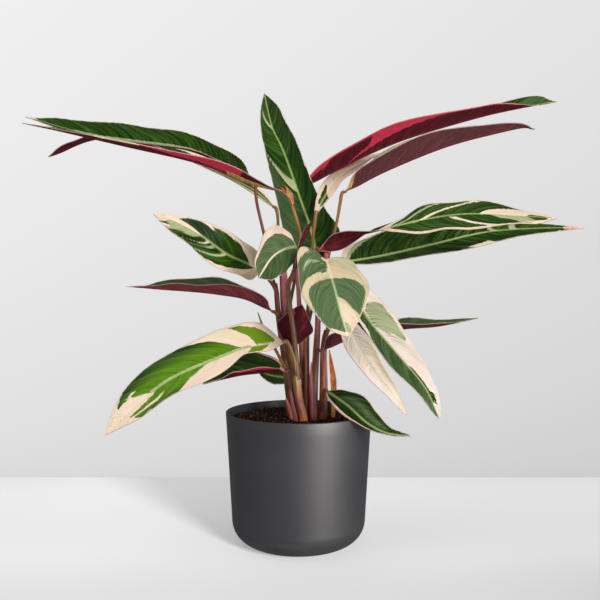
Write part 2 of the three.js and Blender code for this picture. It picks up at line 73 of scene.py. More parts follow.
# %% Wires and graphs
class Wire:
    """One output socket of a node, which can be used in sums."""

    def __init__(self, graph, socket):
        self.graph = graph
        self.socket = socket

    def sum(self, operation, *values, flip=False):
        operands = [*values, self] if flip else [self, *values]
        vector = any(isinstance(x, Wire) and x.socket.type == "VECTOR" for x in operands)
        if vector and operation == "MULTIPLY" and not (isinstance(operands[1], Wire)
                                                       and operands[1].socket.type == "VECTOR"):
            return self.graph.add("ShaderNodeVectorMath", {"operation": "SCALE"},
                                  {"Vector": operands[0], "Scale": operands[1]})
        kind = "ShaderNodeVectorMath" if vector else "ShaderNodeMath"
        return self.graph.add(kind, {"operation": operation}, dict(enumerate(operands)))

    def __add__(self, other):
        return self.sum("ADD", other)

    def __radd__(self, other):
        return self.sum("ADD", other)

    def __sub__(self, other):
        return self.sum("SUBTRACT", other)

    def __rsub__(self, other):
        return self.sum("SUBTRACT", other, flip=True)

    def __mul__(self, other):
        return self.sum("MULTIPLY", other)

    def __rmul__(self, other):
        return self.sum("MULTIPLY", other)

    def __truediv__(self, other):
        return self.sum("DIVIDE", other)

    def __pow__(self, other):
        return self.sum("POWER", other)

    def sin(self):
        return self.sum("SINE")

    def abs(self):
        return self.sum("ABSOLUTE")

    def low(self, other):
        return self.sum("MINIMUM", other)

    def high(self, other):
        return self.sum("MAXIMUM", other)

    def __neg__(self):
        return self.sum("MULTIPLY", -1.0)

    def ease(self, start, end):
        """0 before start and 1 after end, or the other way round where end comes first."""
        first, last, at_first, at_last = (start, end, 0.0, 1.0) if start < end else (end, start, 1.0, 0.0)
        return self.graph.add("ShaderNodeMapRange", {"interpolation_type": "SMOOTHSTEP"},
                              {"Value": self, "From Min": first, "From Max": last,
                               "To Min": at_first, "To Max": at_last})


class Graph:
    """A node tree under construction."""

    def __init__(self, tree):
        self.tree = tree
        self.tree.nodes.clear()

    def add(self, kind, settings=None, inputs=None, output=0):
        node = self.tree.nodes.new(kind)
        for name, value in (settings or {}).items():
            setattr(node, name, value)
        for key, value in (inputs or {}).items():
            if isinstance(value, Wire):
                self.tree.links.new(value.socket, node.inputs[key])
            else:
                node.inputs[key].default_value = value
        return Wire(self, node.outputs[output])

    def point(self, x, y, z):
        return self.add("ShaderNodeCombineXYZ", inputs={"X": x, "Y": y, "Z": z})

    def parts(self, vector):
        """The x, y and z of a vector."""
        split = self.add("ShaderNodeSeparateXYZ", inputs={"Vector": vector}).socket.node
        return [Wire(self, output) for output in split.outputs]


# %% [markdown]
# ## Colours
# The palette is kept in everyday 0-255 values and turned into the linear values that Blender mixes. The
# greens run from the shaded ones to the sunlit ones, and the grey ones are painted sheen, the light that
# the leaves reflect at a slant.


# %% Palette
def srgb(*channels):
    """A colour given as on a screen, in linear light with an alpha of 1."""
    linear = [(c / 255 / 12.92) if c < 11 else ((c / 255 + 0.055) / 1.055) ** 2.4 for c in channels]
    return (*linear, 1.0)


DEEP_GREEN = srgb(16, 42, 4)
SHADE_GREEN = srgb(20, 40, 12)
LEAF_GREEN = srgb(52, 88, 12)
BRIGHT_GREEN = srgb(96, 142, 12)
LIME = srgb(102, 135, 24)
PALE_GREEN = srgb(182, 188, 142)
# Painted sheen: these two grey greens stand for light that the leaves reflect at a slant.
SHEEN_BASE_GREEN = srgb(72, 100, 58)
SHEEN_AND_VEIL_GREEN = srgb(124, 140, 104)
CREAM = srgb(230, 212, 178)
BLUSH = srgb(238, 207, 195)
MILK = srgb(241, 223, 210)
TAN_CREAM = srgb(206, 188, 150)
PINK = srgb(206, 108, 112)
RIB_GREEN = srgb(156, 174, 104)
MAROON = srgb(60, 15, 19)
WINE = srgb(104, 38, 48)
CRIMSON = srgb(186, 52, 72)
# Painted sheen on the wine-red underside.
SHEEN_ROSE = srgb(138, 106, 104)
DRY_GOLD = srgb(206, 160, 96)
DRY_OLIVE = srgb(110, 84, 44)
print("palette: 20 colours")

# %% [markdown]
# ## Building blocks for materials
# A finish reads the piece's own attributes, so its pattern follows the leaf or the stalk. What changes
# over the surface feeds only the base colour, the roughness and a Bump node. What is the same everywhere
# is set on the shader's own sockets.


# %% Material helpers
class Finish(Graph):
    """A material's graph with the few nodes that every finish needs."""

    def __init__(self, name, **constants):
        self.material = bpy.data.materials.new(name)
        self.material.use_nodes = True
        super().__init__(self.material.node_tree)
        self.shader = self.tree.nodes.new("ShaderNodeBsdfPrincipled")
        self.out = self.tree.nodes.new("ShaderNodeOutputMaterial")
        self.tree.links.new(self.shader.outputs[0], self.out.inputs["Surface"])
        for socket, value in constants.items():
            self.shader.inputs[socket.replace("_", " ")].default_value = value

    def read(self, attribute):
        return self.add("ShaderNodeAttribute", {"attribute_name": attribute}, output=2)

    def read_colour(self, attribute):
        return self.add("ShaderNodeAttribute", {"attribute_name": attribute}, output=0)

    def place(self):
        """Where a point lies on the piece, in metres."""
        return self.add("ShaderNodeTexCoord", output=3)

    def noise(self, place, scale=1.0, detail=2.0, roughness=0.5):
        return self.add("ShaderNodeTexNoise", {"noise_dimensions": "3D"},
                        {"Vector": place, "Scale": scale, "Detail": detail, "Roughness": roughness})

    def mix(self, amount, a, b):
        return self.add("ShaderNodeMix", {"data_type": "RGBA"}, {0: amount, 6: a, 7: b}, output=2)

    def finish(self, colour, roughness, height, distance, strength=1.0):
        self.tree.links.new(colour.socket, self.shader.inputs["Base Color"])
        self.tree.links.new(roughness.socket, self.shader.inputs["Roughness"])
        bump = self.add("ShaderNodeBump",
                        inputs={"Height": height, "Distance": distance, "Strength": strength})
        self.tree.links.new(bump.socket, self.shader.inputs["Normal"])
        print("finish:", self.material.name, len(self.tree.nodes), "nodes")
        return self.material


# %% [markdown]
# ## The upper face of a leaf
# The real pattern is made of sectors that run along the side veins from the midrib to the edge, so its
# borders are clean across the veins and feathered along them. It could be painted as an image, but an
# image would blur close up. Instead the blade's mesh carries soft fields that say how cream, pale, lime
# or pink each place is, how lit or shaded it is painted and how much painted sheen it has. A noise that
# is stretched along the veins is added before a field is cut at one half, which gives the feathered
# borders. The same noises draw the light and dark stripes between the veins, the painted sheen (a grey
# reflection of light at a slant) and the thin green veil over some cream.


# %% Upper face
VEIN_SPACING = 5.2  # mm between the side veins


def leaf_upper():
    g = Finish("leaf_upper", IOR=1.45, Specular_IOR_Level=0.1)
    vein, across, rib, edge, seed = (g.read(name) for name in ("vein", "across", "rib", "edge", "seed"))
    bright, dusty, tan, out = g.read("bright"), g.read("dusty"), g.read("tan"), across.abs()

    def veined(pace, side_pace, shift, detail=2.0, roughness=0.5):
        """A noise that changes fast from vein to vein and slowly from the midrib to the edge."""
        return g.noise(g.point(vein * pace, out * side_pace, seed + shift), 1.0, detail, roughness)

    feather = veined(0.85, 0.07, 0.0, 3.0, 0.6)
    broad, stripe = veined(0.16, 0.05, 7.0), veined(0.4, 0.035, 5.0)
    fine = veined(1.3, 0.1, 3.0, 1.0)
    swell = g.noise(g.point(vein * 0.1, across * 0.09, seed + 9.0))
    push = (feather - 0.5) * 0.85 + (broad - 0.5) * 0.45

    def region(name, width=0.06):
        """Where a painted field lies, with feathered borders of the given softness."""
        return (g.read(name) + push).ease(0.5 - width, 0.5 + width)

    # Greens: stripes, then painted lit and shaded areas, then the side veins and the painted sheen.
    side_vein = (vein * (math.pi / VEIN_SPACING) + broad * 1.5).sin().abs().ease(0.25, 0.0)
    green = g.mix((stripe * 0.6 + broad * 0.5 + fine * 0.2).ease(0.5, 0.82), DEEP_GREEN, LEAF_GREEN)
    green = g.mix(bright.high(0.0) * (0.2 + stripe * 1.1), green, BRIGHT_GREEN)
    green = g.mix((-bright).high(0.0) * 0.55, green, SHADE_GREEN)
    green = g.mix(fine.ease(0.46, 0.3) * 0.5, green, DEEP_GREEN)
    green = g.mix(side_vein * out.ease(1.0, 5.0) * broad.ease(0.4, 0.65) * 0.12, green, PALE_GREEN)
    green = g.mix((fine * 0.6 + stripe * 0.5).ease(0.6, 0.74) * 0.1, green, PALE_GREEN)
    # Painted sheen: grey-green where a leaf reflects light at a slant.
    green = g.mix(dusty * 0.55, green, SHEEN_BASE_GREEN)
    sheen_spread = (feather * 0.9 + fine * 0.3 + stripe * 0.3).ease(0.5, 1.0) * 0.6
    green = g.mix(dusty * sheen_spread, green, SHEEN_AND_VEIL_GREEN)
    green = g.mix(region("lime", 0.08), green, LIME)
    streaks = (feather * 1.6 + stripe * 0.8 - 0.4).high(0.3).low(1.0)
    green = g.mix(region("pale", 0.22) * streaks, green, PALE_GREEN)

    # Creams: from warm to blush, with tan, milky and pink areas and the green veil.
    cream = g.mix((broad * 0.9 + feather * 0.3).ease(0.42, 0.85), CREAM, BLUSH)
    cream = g.mix(tan.ease(0.1, 0.9) * (0.45 + feather * 0.8).low(1.0), cream, TAN_CREAM)
    cream = g.mix(tan.ease(-0.1, -0.9), cream, MILK)
    cream = g.mix(g.read("pink").ease(0.2, 1.0) * (0.6 + feather * 0.5).low(1.0), cream, PINK)
    cream = g.mix((fine * 0.5 + stripe * 0.5 - 0.5).ease(0.03, 0.16) * 0.4, cream, PALE_GREEN)
    veil = g.read("pale") * (feather * 0.8 + fine * 0.4).ease(0.5, 0.75)
    cream = g.mix(veil * 0.8, cream, g.mix(fine.ease(0.48, 0.62), PALE_GREEN, SHEEN_AND_VEIL_GREEN))

    # Together, with the midrib and the thin pale rim.
    in_cream = region("cream")
    colour = g.mix(in_cream, green, cream)
    midrib = (rib + (fine - 0.5) * 1.8).ease(2.1, 0.4)
    # The midrib is paler too where painted sheen lies.
    rib_green = g.mix(dusty, RIB_GREEN, PALE_GREEN)
    colour = g.mix(midrib * 0.8, colour, g.mix(in_cream, rib_green, CREAM))
    colour = g.mix((edge + (broad - 0.5) * 2.4).ease(0.7, 0.1) * 0.75, colour, BLUSH)
    roughness = 0.3 + fine * 0.14 + in_cream * 0.1 + broad * 0.08
    height = fine * 0.35 + feather * 0.3 + stripe * 0.55 - side_vein * 0.35 + swell * 3.0
    return g.finish(colour, roughness, height, 0.0003)


leaf_upper_face = leaf_upper()

# %% [markdown]
# ## The underside of a leaf
# Beneath, the blade is wine-red. Where the upper face is cream there is no green under the red, so the
# underside glows crimson there, and a few places have no red at all and show cream or dry straw. It is a
# finish of its own, because a blade's two faces share nothing but the fields. Fine ridges follow the side
# veins and break up the light, and a dull rose is painted sheen where the upper face has sheen too.


# %% Underside
def leaf_under():
    g = Finish("leaf_under", IOR=1.45, Specular_IOR_Level=0.03)
    vein, across, rib, edge, seed = (g.read(name) for name in ("vein", "across", "rib", "edge", "seed"))
    out = across.abs()
    feather = g.noise(g.point(vein * 0.7, out * 0.06, seed + 11.0), detail=3.0, roughness=0.6)
    fine = g.noise(g.point(vein * 2.2, out * 0.12, seed + 5.0), detail=1.0)
    colour = g.mix((feather * 0.8 + fine * 0.3).ease(0.35, 0.85), MAROON, WINE)
    colour = g.mix((g.read("glow") + (feather - 0.5) * 0.9).ease(0.38, 0.75), colour, CRIMSON)
    fresh = g.mix(feather.ease(0.45, 0.6), CREAM, PALE_GREEN)
    dry = g.mix(fine.ease(0.42, 0.6), DRY_GOLD, DRY_OLIVE)
    bare = (g.read("bare") + (feather - 0.5) * 0.6).ease(0.45, 0.6)
    colour = g.mix(bare, colour, g.mix(g.read("tan").ease(0.1, 0.9), fresh, dry))
    # Painted sheen: a dull rose where the underside reflects light at a slant.
    colour = g.mix(g.read("dusty") * fine * 0.36, colour, SHEEN_ROSE)
    colour = g.mix(rib.ease(1.6, 0.6) * 0.5, colour, WINE)
    colour = g.mix(edge.ease(0.9, 0.1) * 0.4, colour, BLUSH)
    ridges = (vein * (math.pi / VEIN_SPACING)).sin().abs().ease(0.3, 0.0)
    return g.finish(colour, 0.42 + fine * 0.16, fine * 0.4 + feather * 0.3 + ridges * 0.5, 0.0004)


leaf_under_face = leaf_under()

# %% [markdown]
# ## The shape of a blade
# A blade is a thin sheet hung on its midrib. The midrib is a smooth curve through a few points, a list of
# directions says which way the upper face looks, and half-widths at fixed stations give the outline.
# Each half can be folded up from the midrib, its edge can wave, and its base can have a lobe that is swept
# back. It could be sculpted by hand, but a rule keeps the fine sheet on top of the solid of the same leaf.


# %% Blade values, in millimetres
STATIONS = [0, 0.1, 0.3, 0.5, 0.7, 0.9, 1]  # where the half-widths are given
STUB, TIP = 1.2, 0.4  # half-widths at the stalk and at the point
OPEN_WIDTH, FULL_WAVE_WIDTH = 8, 12  # half-widths from which a blade folds and waves fully
PLAIN_BLADE = dict(wave=1, waves=3, lobes=(0, 0))  # wave height, number of waves, sweep of the two lobes
BLADES = {
    "leaf_upper_left_front": dict(
        rib=[(-46, 12, 349), (-79, 10, 367), (-112, 10, 379), (-161, 12, 386), (-204, 14, 393),
             (-269, 18, 412)],
        up=[(0, -0.3, 0.95)],
        left=[8, 14, 16, 14, 8], right=[12.5, 15.5, 17, 17.5, 9.5],
        folds=([22, 10, -5], [60]), wave=0.6,
    ),
    "leaf_upper_left_long": dict(
        rib=[(-9, -10, 333), (-45, -20, 341), (-90, -36, 357), (-155, -66, 368), (-200, -90, 375),
             (-226, -104, 378)],
        up=[(0, 0.1, 1), (0, 0, 1), (0, -0.2, 1)],
        left=[4.5, 16, 11, 6, 3], right=[7, 14, 15, 12, 6],
        folds=([30, 12, 12, 14], [40, 22, 18, 10]), wave=0.6,
        roll=[(-6, -10, 322), (-8, -10, 330), (-13, -11, 336), (-20, -13, 338)],
        roll_radii=[1.6, 3.4, 3.6, 2],
    ),
    "leaf_upper_left_back": dict(
        rib=[(-25, 20, 324), (-45, 30, 341), (-75, 46, 358), (-136, 72, 388), (-206, 96, 407),
             (-248, 108, 402), (-280, 114, 390)],
        up=[(0, -0.5, 0.8), (0, -0.2, 0.9), (-0.3, 0.2, 0.9)],
        left=[5, 11, 15, 12, 7], right=[5, 11, 15, 12, 7],
        folds=([15], [15]),
    ),
    "leaf_top_upright": dict(
        rib=[(19, 24, 269), (13, 30, 300), (3, 36, 330), (-15, 44, 382), (-27, 45, 408), (-35, 40, 441)],
        up=[(-0.1, -1, 0.1), (-0.1, -1, 0.2)],
        left=[29, 27, 22, 16, 8], right=[27, 21, 16.5, 16, 12],
        folds=([15], [8]),
    ),
    "leaf_upper_right_high": dict(
        rib=[(1, 52, 345), (52, 66, 374), (112, 84, 403), (193, 106, 431), (244, 118, 445),
             (293, 128, 455)],
        up=[(0, 0.1, 1), (0, 0, 1), (0, -0.1, 1), (0, -0.6, 0.8)],
        left=[10, 20, 22, 18, 12], right=[15, 24.5, 20.5, 14, 4],
        folds=([20, 20, 25, 50], [45, 48, 40, 20]),
    ),
    "leaf_upper_right_low": dict(
        rib=[(46, 14, 338), (85, 8, 358), (145, -4, 380.5), (203, -18, 392.5), (220, -22, 391)],
        up=[(0, 0.1, 1), (0, 0.1, 1), (0, 0.2, 1)],
        left=[12, 24, 23, 9, 3], right=[13, 20, 18, 8, 2.5],
        folds=([68, 60, 40], [38]),
    ),
    "leaf_cream_back": dict(
        rib=[(18, 10, 317), (26, 26, 334), (42, 56, 358), (80, 96, 386), (126, 124, 402)],
        up=[(-0.4, -0.8, 0.5), (-0.2, -0.5, 0.9), (0, 0, 1)],
        left=[5, 9, 12, 11, 5], right=[4, 9, 12, 11, 5],
        folds=([12], [12]),
    ),
    "leaf_right_twisted": dict(
        rib=[(20, -12, 279), (50, -20, 291), (88, -34, 299.5), (119, -44, 306), (152, -54, 309),
             (193, -66, 306), (222, -74, 303)],
        up=[(0, 0.9, 0.3), (0, 0.7, 0.7), (0, -0.3, 0.95), (0, -0.5, 0.85), (0, -0.6, 0.8), (0, -0.6, 0.8),
            (0, -0.6, 0.8)],
        left=[10, 9, 18, 17, 6], right=[10, 12, 20, 20, 11],
        folds=([8, 30, 20, 8, 8], [5, -16, -14, -4, 5]), wave=1.5, waves=4,
    ),
    "leaf_right_long": dict(
        rib=[(43, -2, 268), (82, 4, 274.5), (130, 14, 285.5), (187, 26, 299), (245, 38, 304), (293, 48, 305)],
        up=[(0, -0.7, 0.7)],
        left=[20, 32, 26, 12, 4], right=[9, 11.5, 19, 13, 4],
        folds=([5], [5]), lobes=(10, 0),
    ),
    "leaf_right_low": dict(
        rib=[(22, -10, 184), (49, -4, 195), (101, 20, 203), (144, 42, 205), (189, 62, 212)],
        up=[(0, 0, 1)],
        left=[8, 14, 14, 10, 5], right=[11, 15, 13, 9, 4],
        folds=([60, 45, 45], [70, 25, 15]),
    ),
    "leaf_left_broad": dict(
        rib=[(-37, -10, 259), (-48, -20, 266), (-67, -32, 275), (-90, -46, 292), (-109, -58, 302),
             (-126, -68, 308)],
        up=[(0.1, -0.9, 0.4), (0, -0.9, 0.4)],
        left=[13, 16, 17, 14, 8], right=[14, 20, 18, 9, 3],
        folds=([5], [5]),
    ),
    "leaf_left_narrow": dict(
        rib=[(-25, -5, 221), (-50, 2, 233), (-80, 14, 238), (-112, 28, 241), (-146, 42, 243),
             (-180, 56, 245)],
        up=[(0, 0, 1)],
        left=[13, 16.5, 17, 12, 5], right=[8, 15.5, 19.5, 13, 4],
        folds=([68, 40, 26, 24, 24], [50]),
    ),
    "leaf_left_large": dict(
        rib=[(-14, -26, 193), (-43, -42, 190), (-66, -56, 183), (-110, -80, 165), (-140, -98, 140),
             (-158, -108, 123)],
        up=[(0, -0.75, 0.65), (-0.1, -0.8, 0.6), (-0.2, -0.8, 0.5)],
        left=[8, 8, 19, 15, 6], right=[23, 27, 24, 20, 9],
        folds=([8], [8]),
    ),
    "leaf_left_low": dict(
        rib=[(-12, -10, 164), (-32, -13, 164), (-55, -18, 162), (-73, -22, 158), (-89, -27, 154)],
        up=[(0, -0.3, 0.9)],
        left=[8, 9.5, 9, 6, 3], right=[12, 22, 22, 14, 7],
        folds=([50], [40]),
    ),
    "leaf_left_hidden": dict(
        rib=[(-7, 20, 154), (-17, 36, 153), (-29, 52, 153), (-42, 70, 155)],
        up=[(-0.2, -0.9, 0.4)],
        left=[6, 9, 9, 7, 4], right=[9, 16, 18, 14, 6],
        folds=([10], [10]),
    ),
    "leaf_young_rolled": dict(
        rib=[(-2, -24, 282), (-13, -46, 278), (-24, -66, 269), (-34, -80, 252)],
        up=[(0.77, -0.5, 0.35)],
        left=[8, 14, 17, 17, 12], right=[12, 22, 23, 18, 12],
        folds=([10], [10]),
        roll=[(-4, -24, 260), (-2, -24, 272), (2, -23, 285), (7, -22, 296), (13, -21, 306)],
        roll_radii=[1.8, 2.4, 2.4, 2.3, 1.8],
    ),
    "leaf_centre_front": dict(
        rib=[(25, -36, 270), (28, -60, 256), (32, -80, 239), (36, -94, 220), (41, -100, 203)],
        up=[(0, -0.3, 0.95), (0, -0.8, 0.5), (0, -0.95, 0.1)],
        left=[20, 25, 29.5, 21, 10], right=[27, 30, 30, 22, 10.5],
        folds=([8], [40, 18, 8, 8, 8]), lobes=(6, 7),
    ),
    "leaf_drooping_cream": dict(
        rib=[(41, -26, 221), (51, -58, 196), (64, -82, 172), (78, -96, 155), (89, -104, 139)],
        up=[(0, -0.9, 0.4), (0, -0.95, 0.2)],
        left=[7, 12, 10, 7, 3], right=[8, 12, 8, 5, 2.5],
        folds=([12], [12]),
    ),
    "leaf_drooping_large": dict(
        rib=[(48, -10, 247), (65, -22, 215), (90, -34, 184), (114, -44, 154), (127, -50, 125)],
        up=[(0, -0.9, 0.4), (0, -0.95, 0.3)],
        left=[16, 21, 17, 11, 6], right=[8, 10, 14, 11, 5],
        folds=([10], [10]),
    ),
    "leaf_maroon_inner": dict(
        rib=[(-7, -10, 188), (-5, -11, 200), (-2, -12, 213), (3, -14, 228)],
        up=[(0, 0.9, 0.3), (0, 0.8, 0.4)],
        left=[8, 15, 19, 14, 6], right=[7, 14, 17.5, 12, 5],
        folds=([14], [14]),
    ),
    "leaf_over_rim": dict(
        rib=[(27, -18, 146), (45, -42, 136), (61, -54, 123), (78, -62, 115.5), (99, -66, 113.5)],
        up=[(0, -0.75, 0.65), (0, -0.75, 0.65), (0, -0.8, 0.6)],
        left=[11, 16.5, 14, 8, 3], right=[8, 11, 6, 2.5, 1.2],
        folds=([10], [10]),
    ),
}
print("blades:", len(BLADES))

# %% [markdown]
# ## A smooth curve and a smooth outline
# The curve is the Catmull-Rom spline, which passes through its points. The outline is a cubic between
# the stations, with slopes taken from the neighbours, so a leaf needs only five widths a side.


# %% Curves and widths
def curve_at(points, u):
    p = np.array(points, float)
    p = np.vstack([2 * p[0] - p[1], p, 2 * p[-1] - p[-2]])
    last = len(points) - 1
    index = np.minimum(np.floor(u * last).astype(int), last - 1)
    t = (u * last - index)[:, None]
    before, start, end, after = (p[index + k] for k in range(4))
    leave, arrive = (end - before) / 2, (after - start) / 2
    return (start + leave * t + (3 * (end - start) - 2 * leave - arrive) * t ** 2
            + (2 * (start - end) + leave + arrive) * t ** 3)


def direction_at(points, u, step=1e-4):
    ahead = curve_at(points, np.clip(u + step, 0, 1)) - curve_at(points, np.clip(u - step, 0, 1))
    return ahead / np.linalg.norm(ahead, axis=1, keepdims=True)


def along(values, u):
    """The values of a list that is spread evenly from 0 to 1, in straight steps."""
    table = np.array(values, float).reshape(len(values), -1)
    marks = np.linspace(0, 1, len(values)) if len(values) > 1 else [0]
    columns = [np.interp(u, marks, table[:, k]) for k in range(table.shape[1])]
    return np.stack(columns, axis=1) if len(columns) > 1 else columns[0]


def half_width(widths, u):
    x, y = np.array(STATIONS, float), np.array([STUB, *widths, TIP], float)
    low, high = np.maximum(np.arange(len(x)) - 1, 0), np.minimum(np.arange(len(x)) + 1, len(x) - 1)
    slope = (y[high] - y[low]) / (x[high] - x[low])
    i = np.clip(np.searchsorted(x, u) - 1, 0, len(x) - 2)
    h = x[i + 1] - x[i]
    t = (u - x[i]) / h
    width = ((1 + 2 * t) * (1 - t) ** 2 * y[i] + t * (1 - t) ** 2 * h * slope[i]
             + t * t * (3 - 2 * t) * y[i + 1] + t * t * (t - 1) * h * slope[i + 1])
    return np.maximum(width, TIP)


def curve_length(points):
    steps = np.diff(curve_at(points, np.linspace(0, 1, 200)), axis=0)
    return float(np.linalg.norm(steps, axis=1).sum())


print("longest blade:", round(max(curve_length(b["rib"]) for b in BLADES.values())), "mm")

# %% [markdown]
# ## The pattern of each leaf
# No two leaves are painted alike, so each has a short list of marks. A mark is a paint, the half it is
# on (L, R or B for both), where it begins and ends along the leaf, and how far out it reaches and starts.
# A begin or an end is a share of the leaf's length, counted along the side veins, and can be a list from
# the midrib to the edge. A reach is a share of the half-width, and can be a list from begin to end. Later
# marks lie over earlier ones.
#
# A paint sets one or more of the fields that the finishes read. Bright and deep are lit and shaded green,
# the sheen paint and soft are two strengths of painted sheen, and veil is a thin green over cream. Four
# paints are for the underside: flush and glow are two strengths of crimson, bare has no red at all, and
# straw is dry.


# %% Marks
def mark(paint, half, start, stop, outer=1, inner=0):
    """One painted area. Each of the four borders is a number or a list of evenly spaced numbers."""
    borders = (start, stop, outer, inner)
    return paint, half, *(border if isinstance(border, tuple) else (border,) for border in borders)


PAINTS = {
    "green": dict(cream=0, pale=0, lime=0), "cream": dict(cream=1, pale=0, pink=0, tan=0),
    "tan": dict(cream=1, pale=0, pink=0, tan=1), "milk": dict(cream=1, pale=0, pink=0, tan=-1),
    "blush": dict(cream=1, pale=0, pink=0.38, tan=0), "pink": dict(cream=1, pale=0, pink=1, tan=0),
    "pale": dict(cream=0, pale=1), "veil": dict(cream=1, pale=1),
    "lime": dict(cream=0, lime=1), "bright": dict(bright=1), "deep": dict(bright=-1),
    # Painted sheen: the sheen paint and soft, its weaker strength, set the sheen field.
    "dusty": dict(dusty=1), "soft": dict(dusty=0.45), "glow": dict(glow=1), "flush": dict(glow=0.5),
    "bare": dict(bare=1, tan=0), "straw": dict(bare=1, tan=1),
}
FIELDS = ["cream", "pale", "lime", "pink", "tan", "bright", "dusty", "glow", "bare"]
GREEN_HEART = mark("green", "R", (0.33, 0.31, 0.25, 0.165, 0.1), (0.93, 0.92, 0.85, 0.71, 0.55),
                   (0.7, 0.82, 0.88, 0.9))  # laid twice on the centre leaf, which sharpens its border
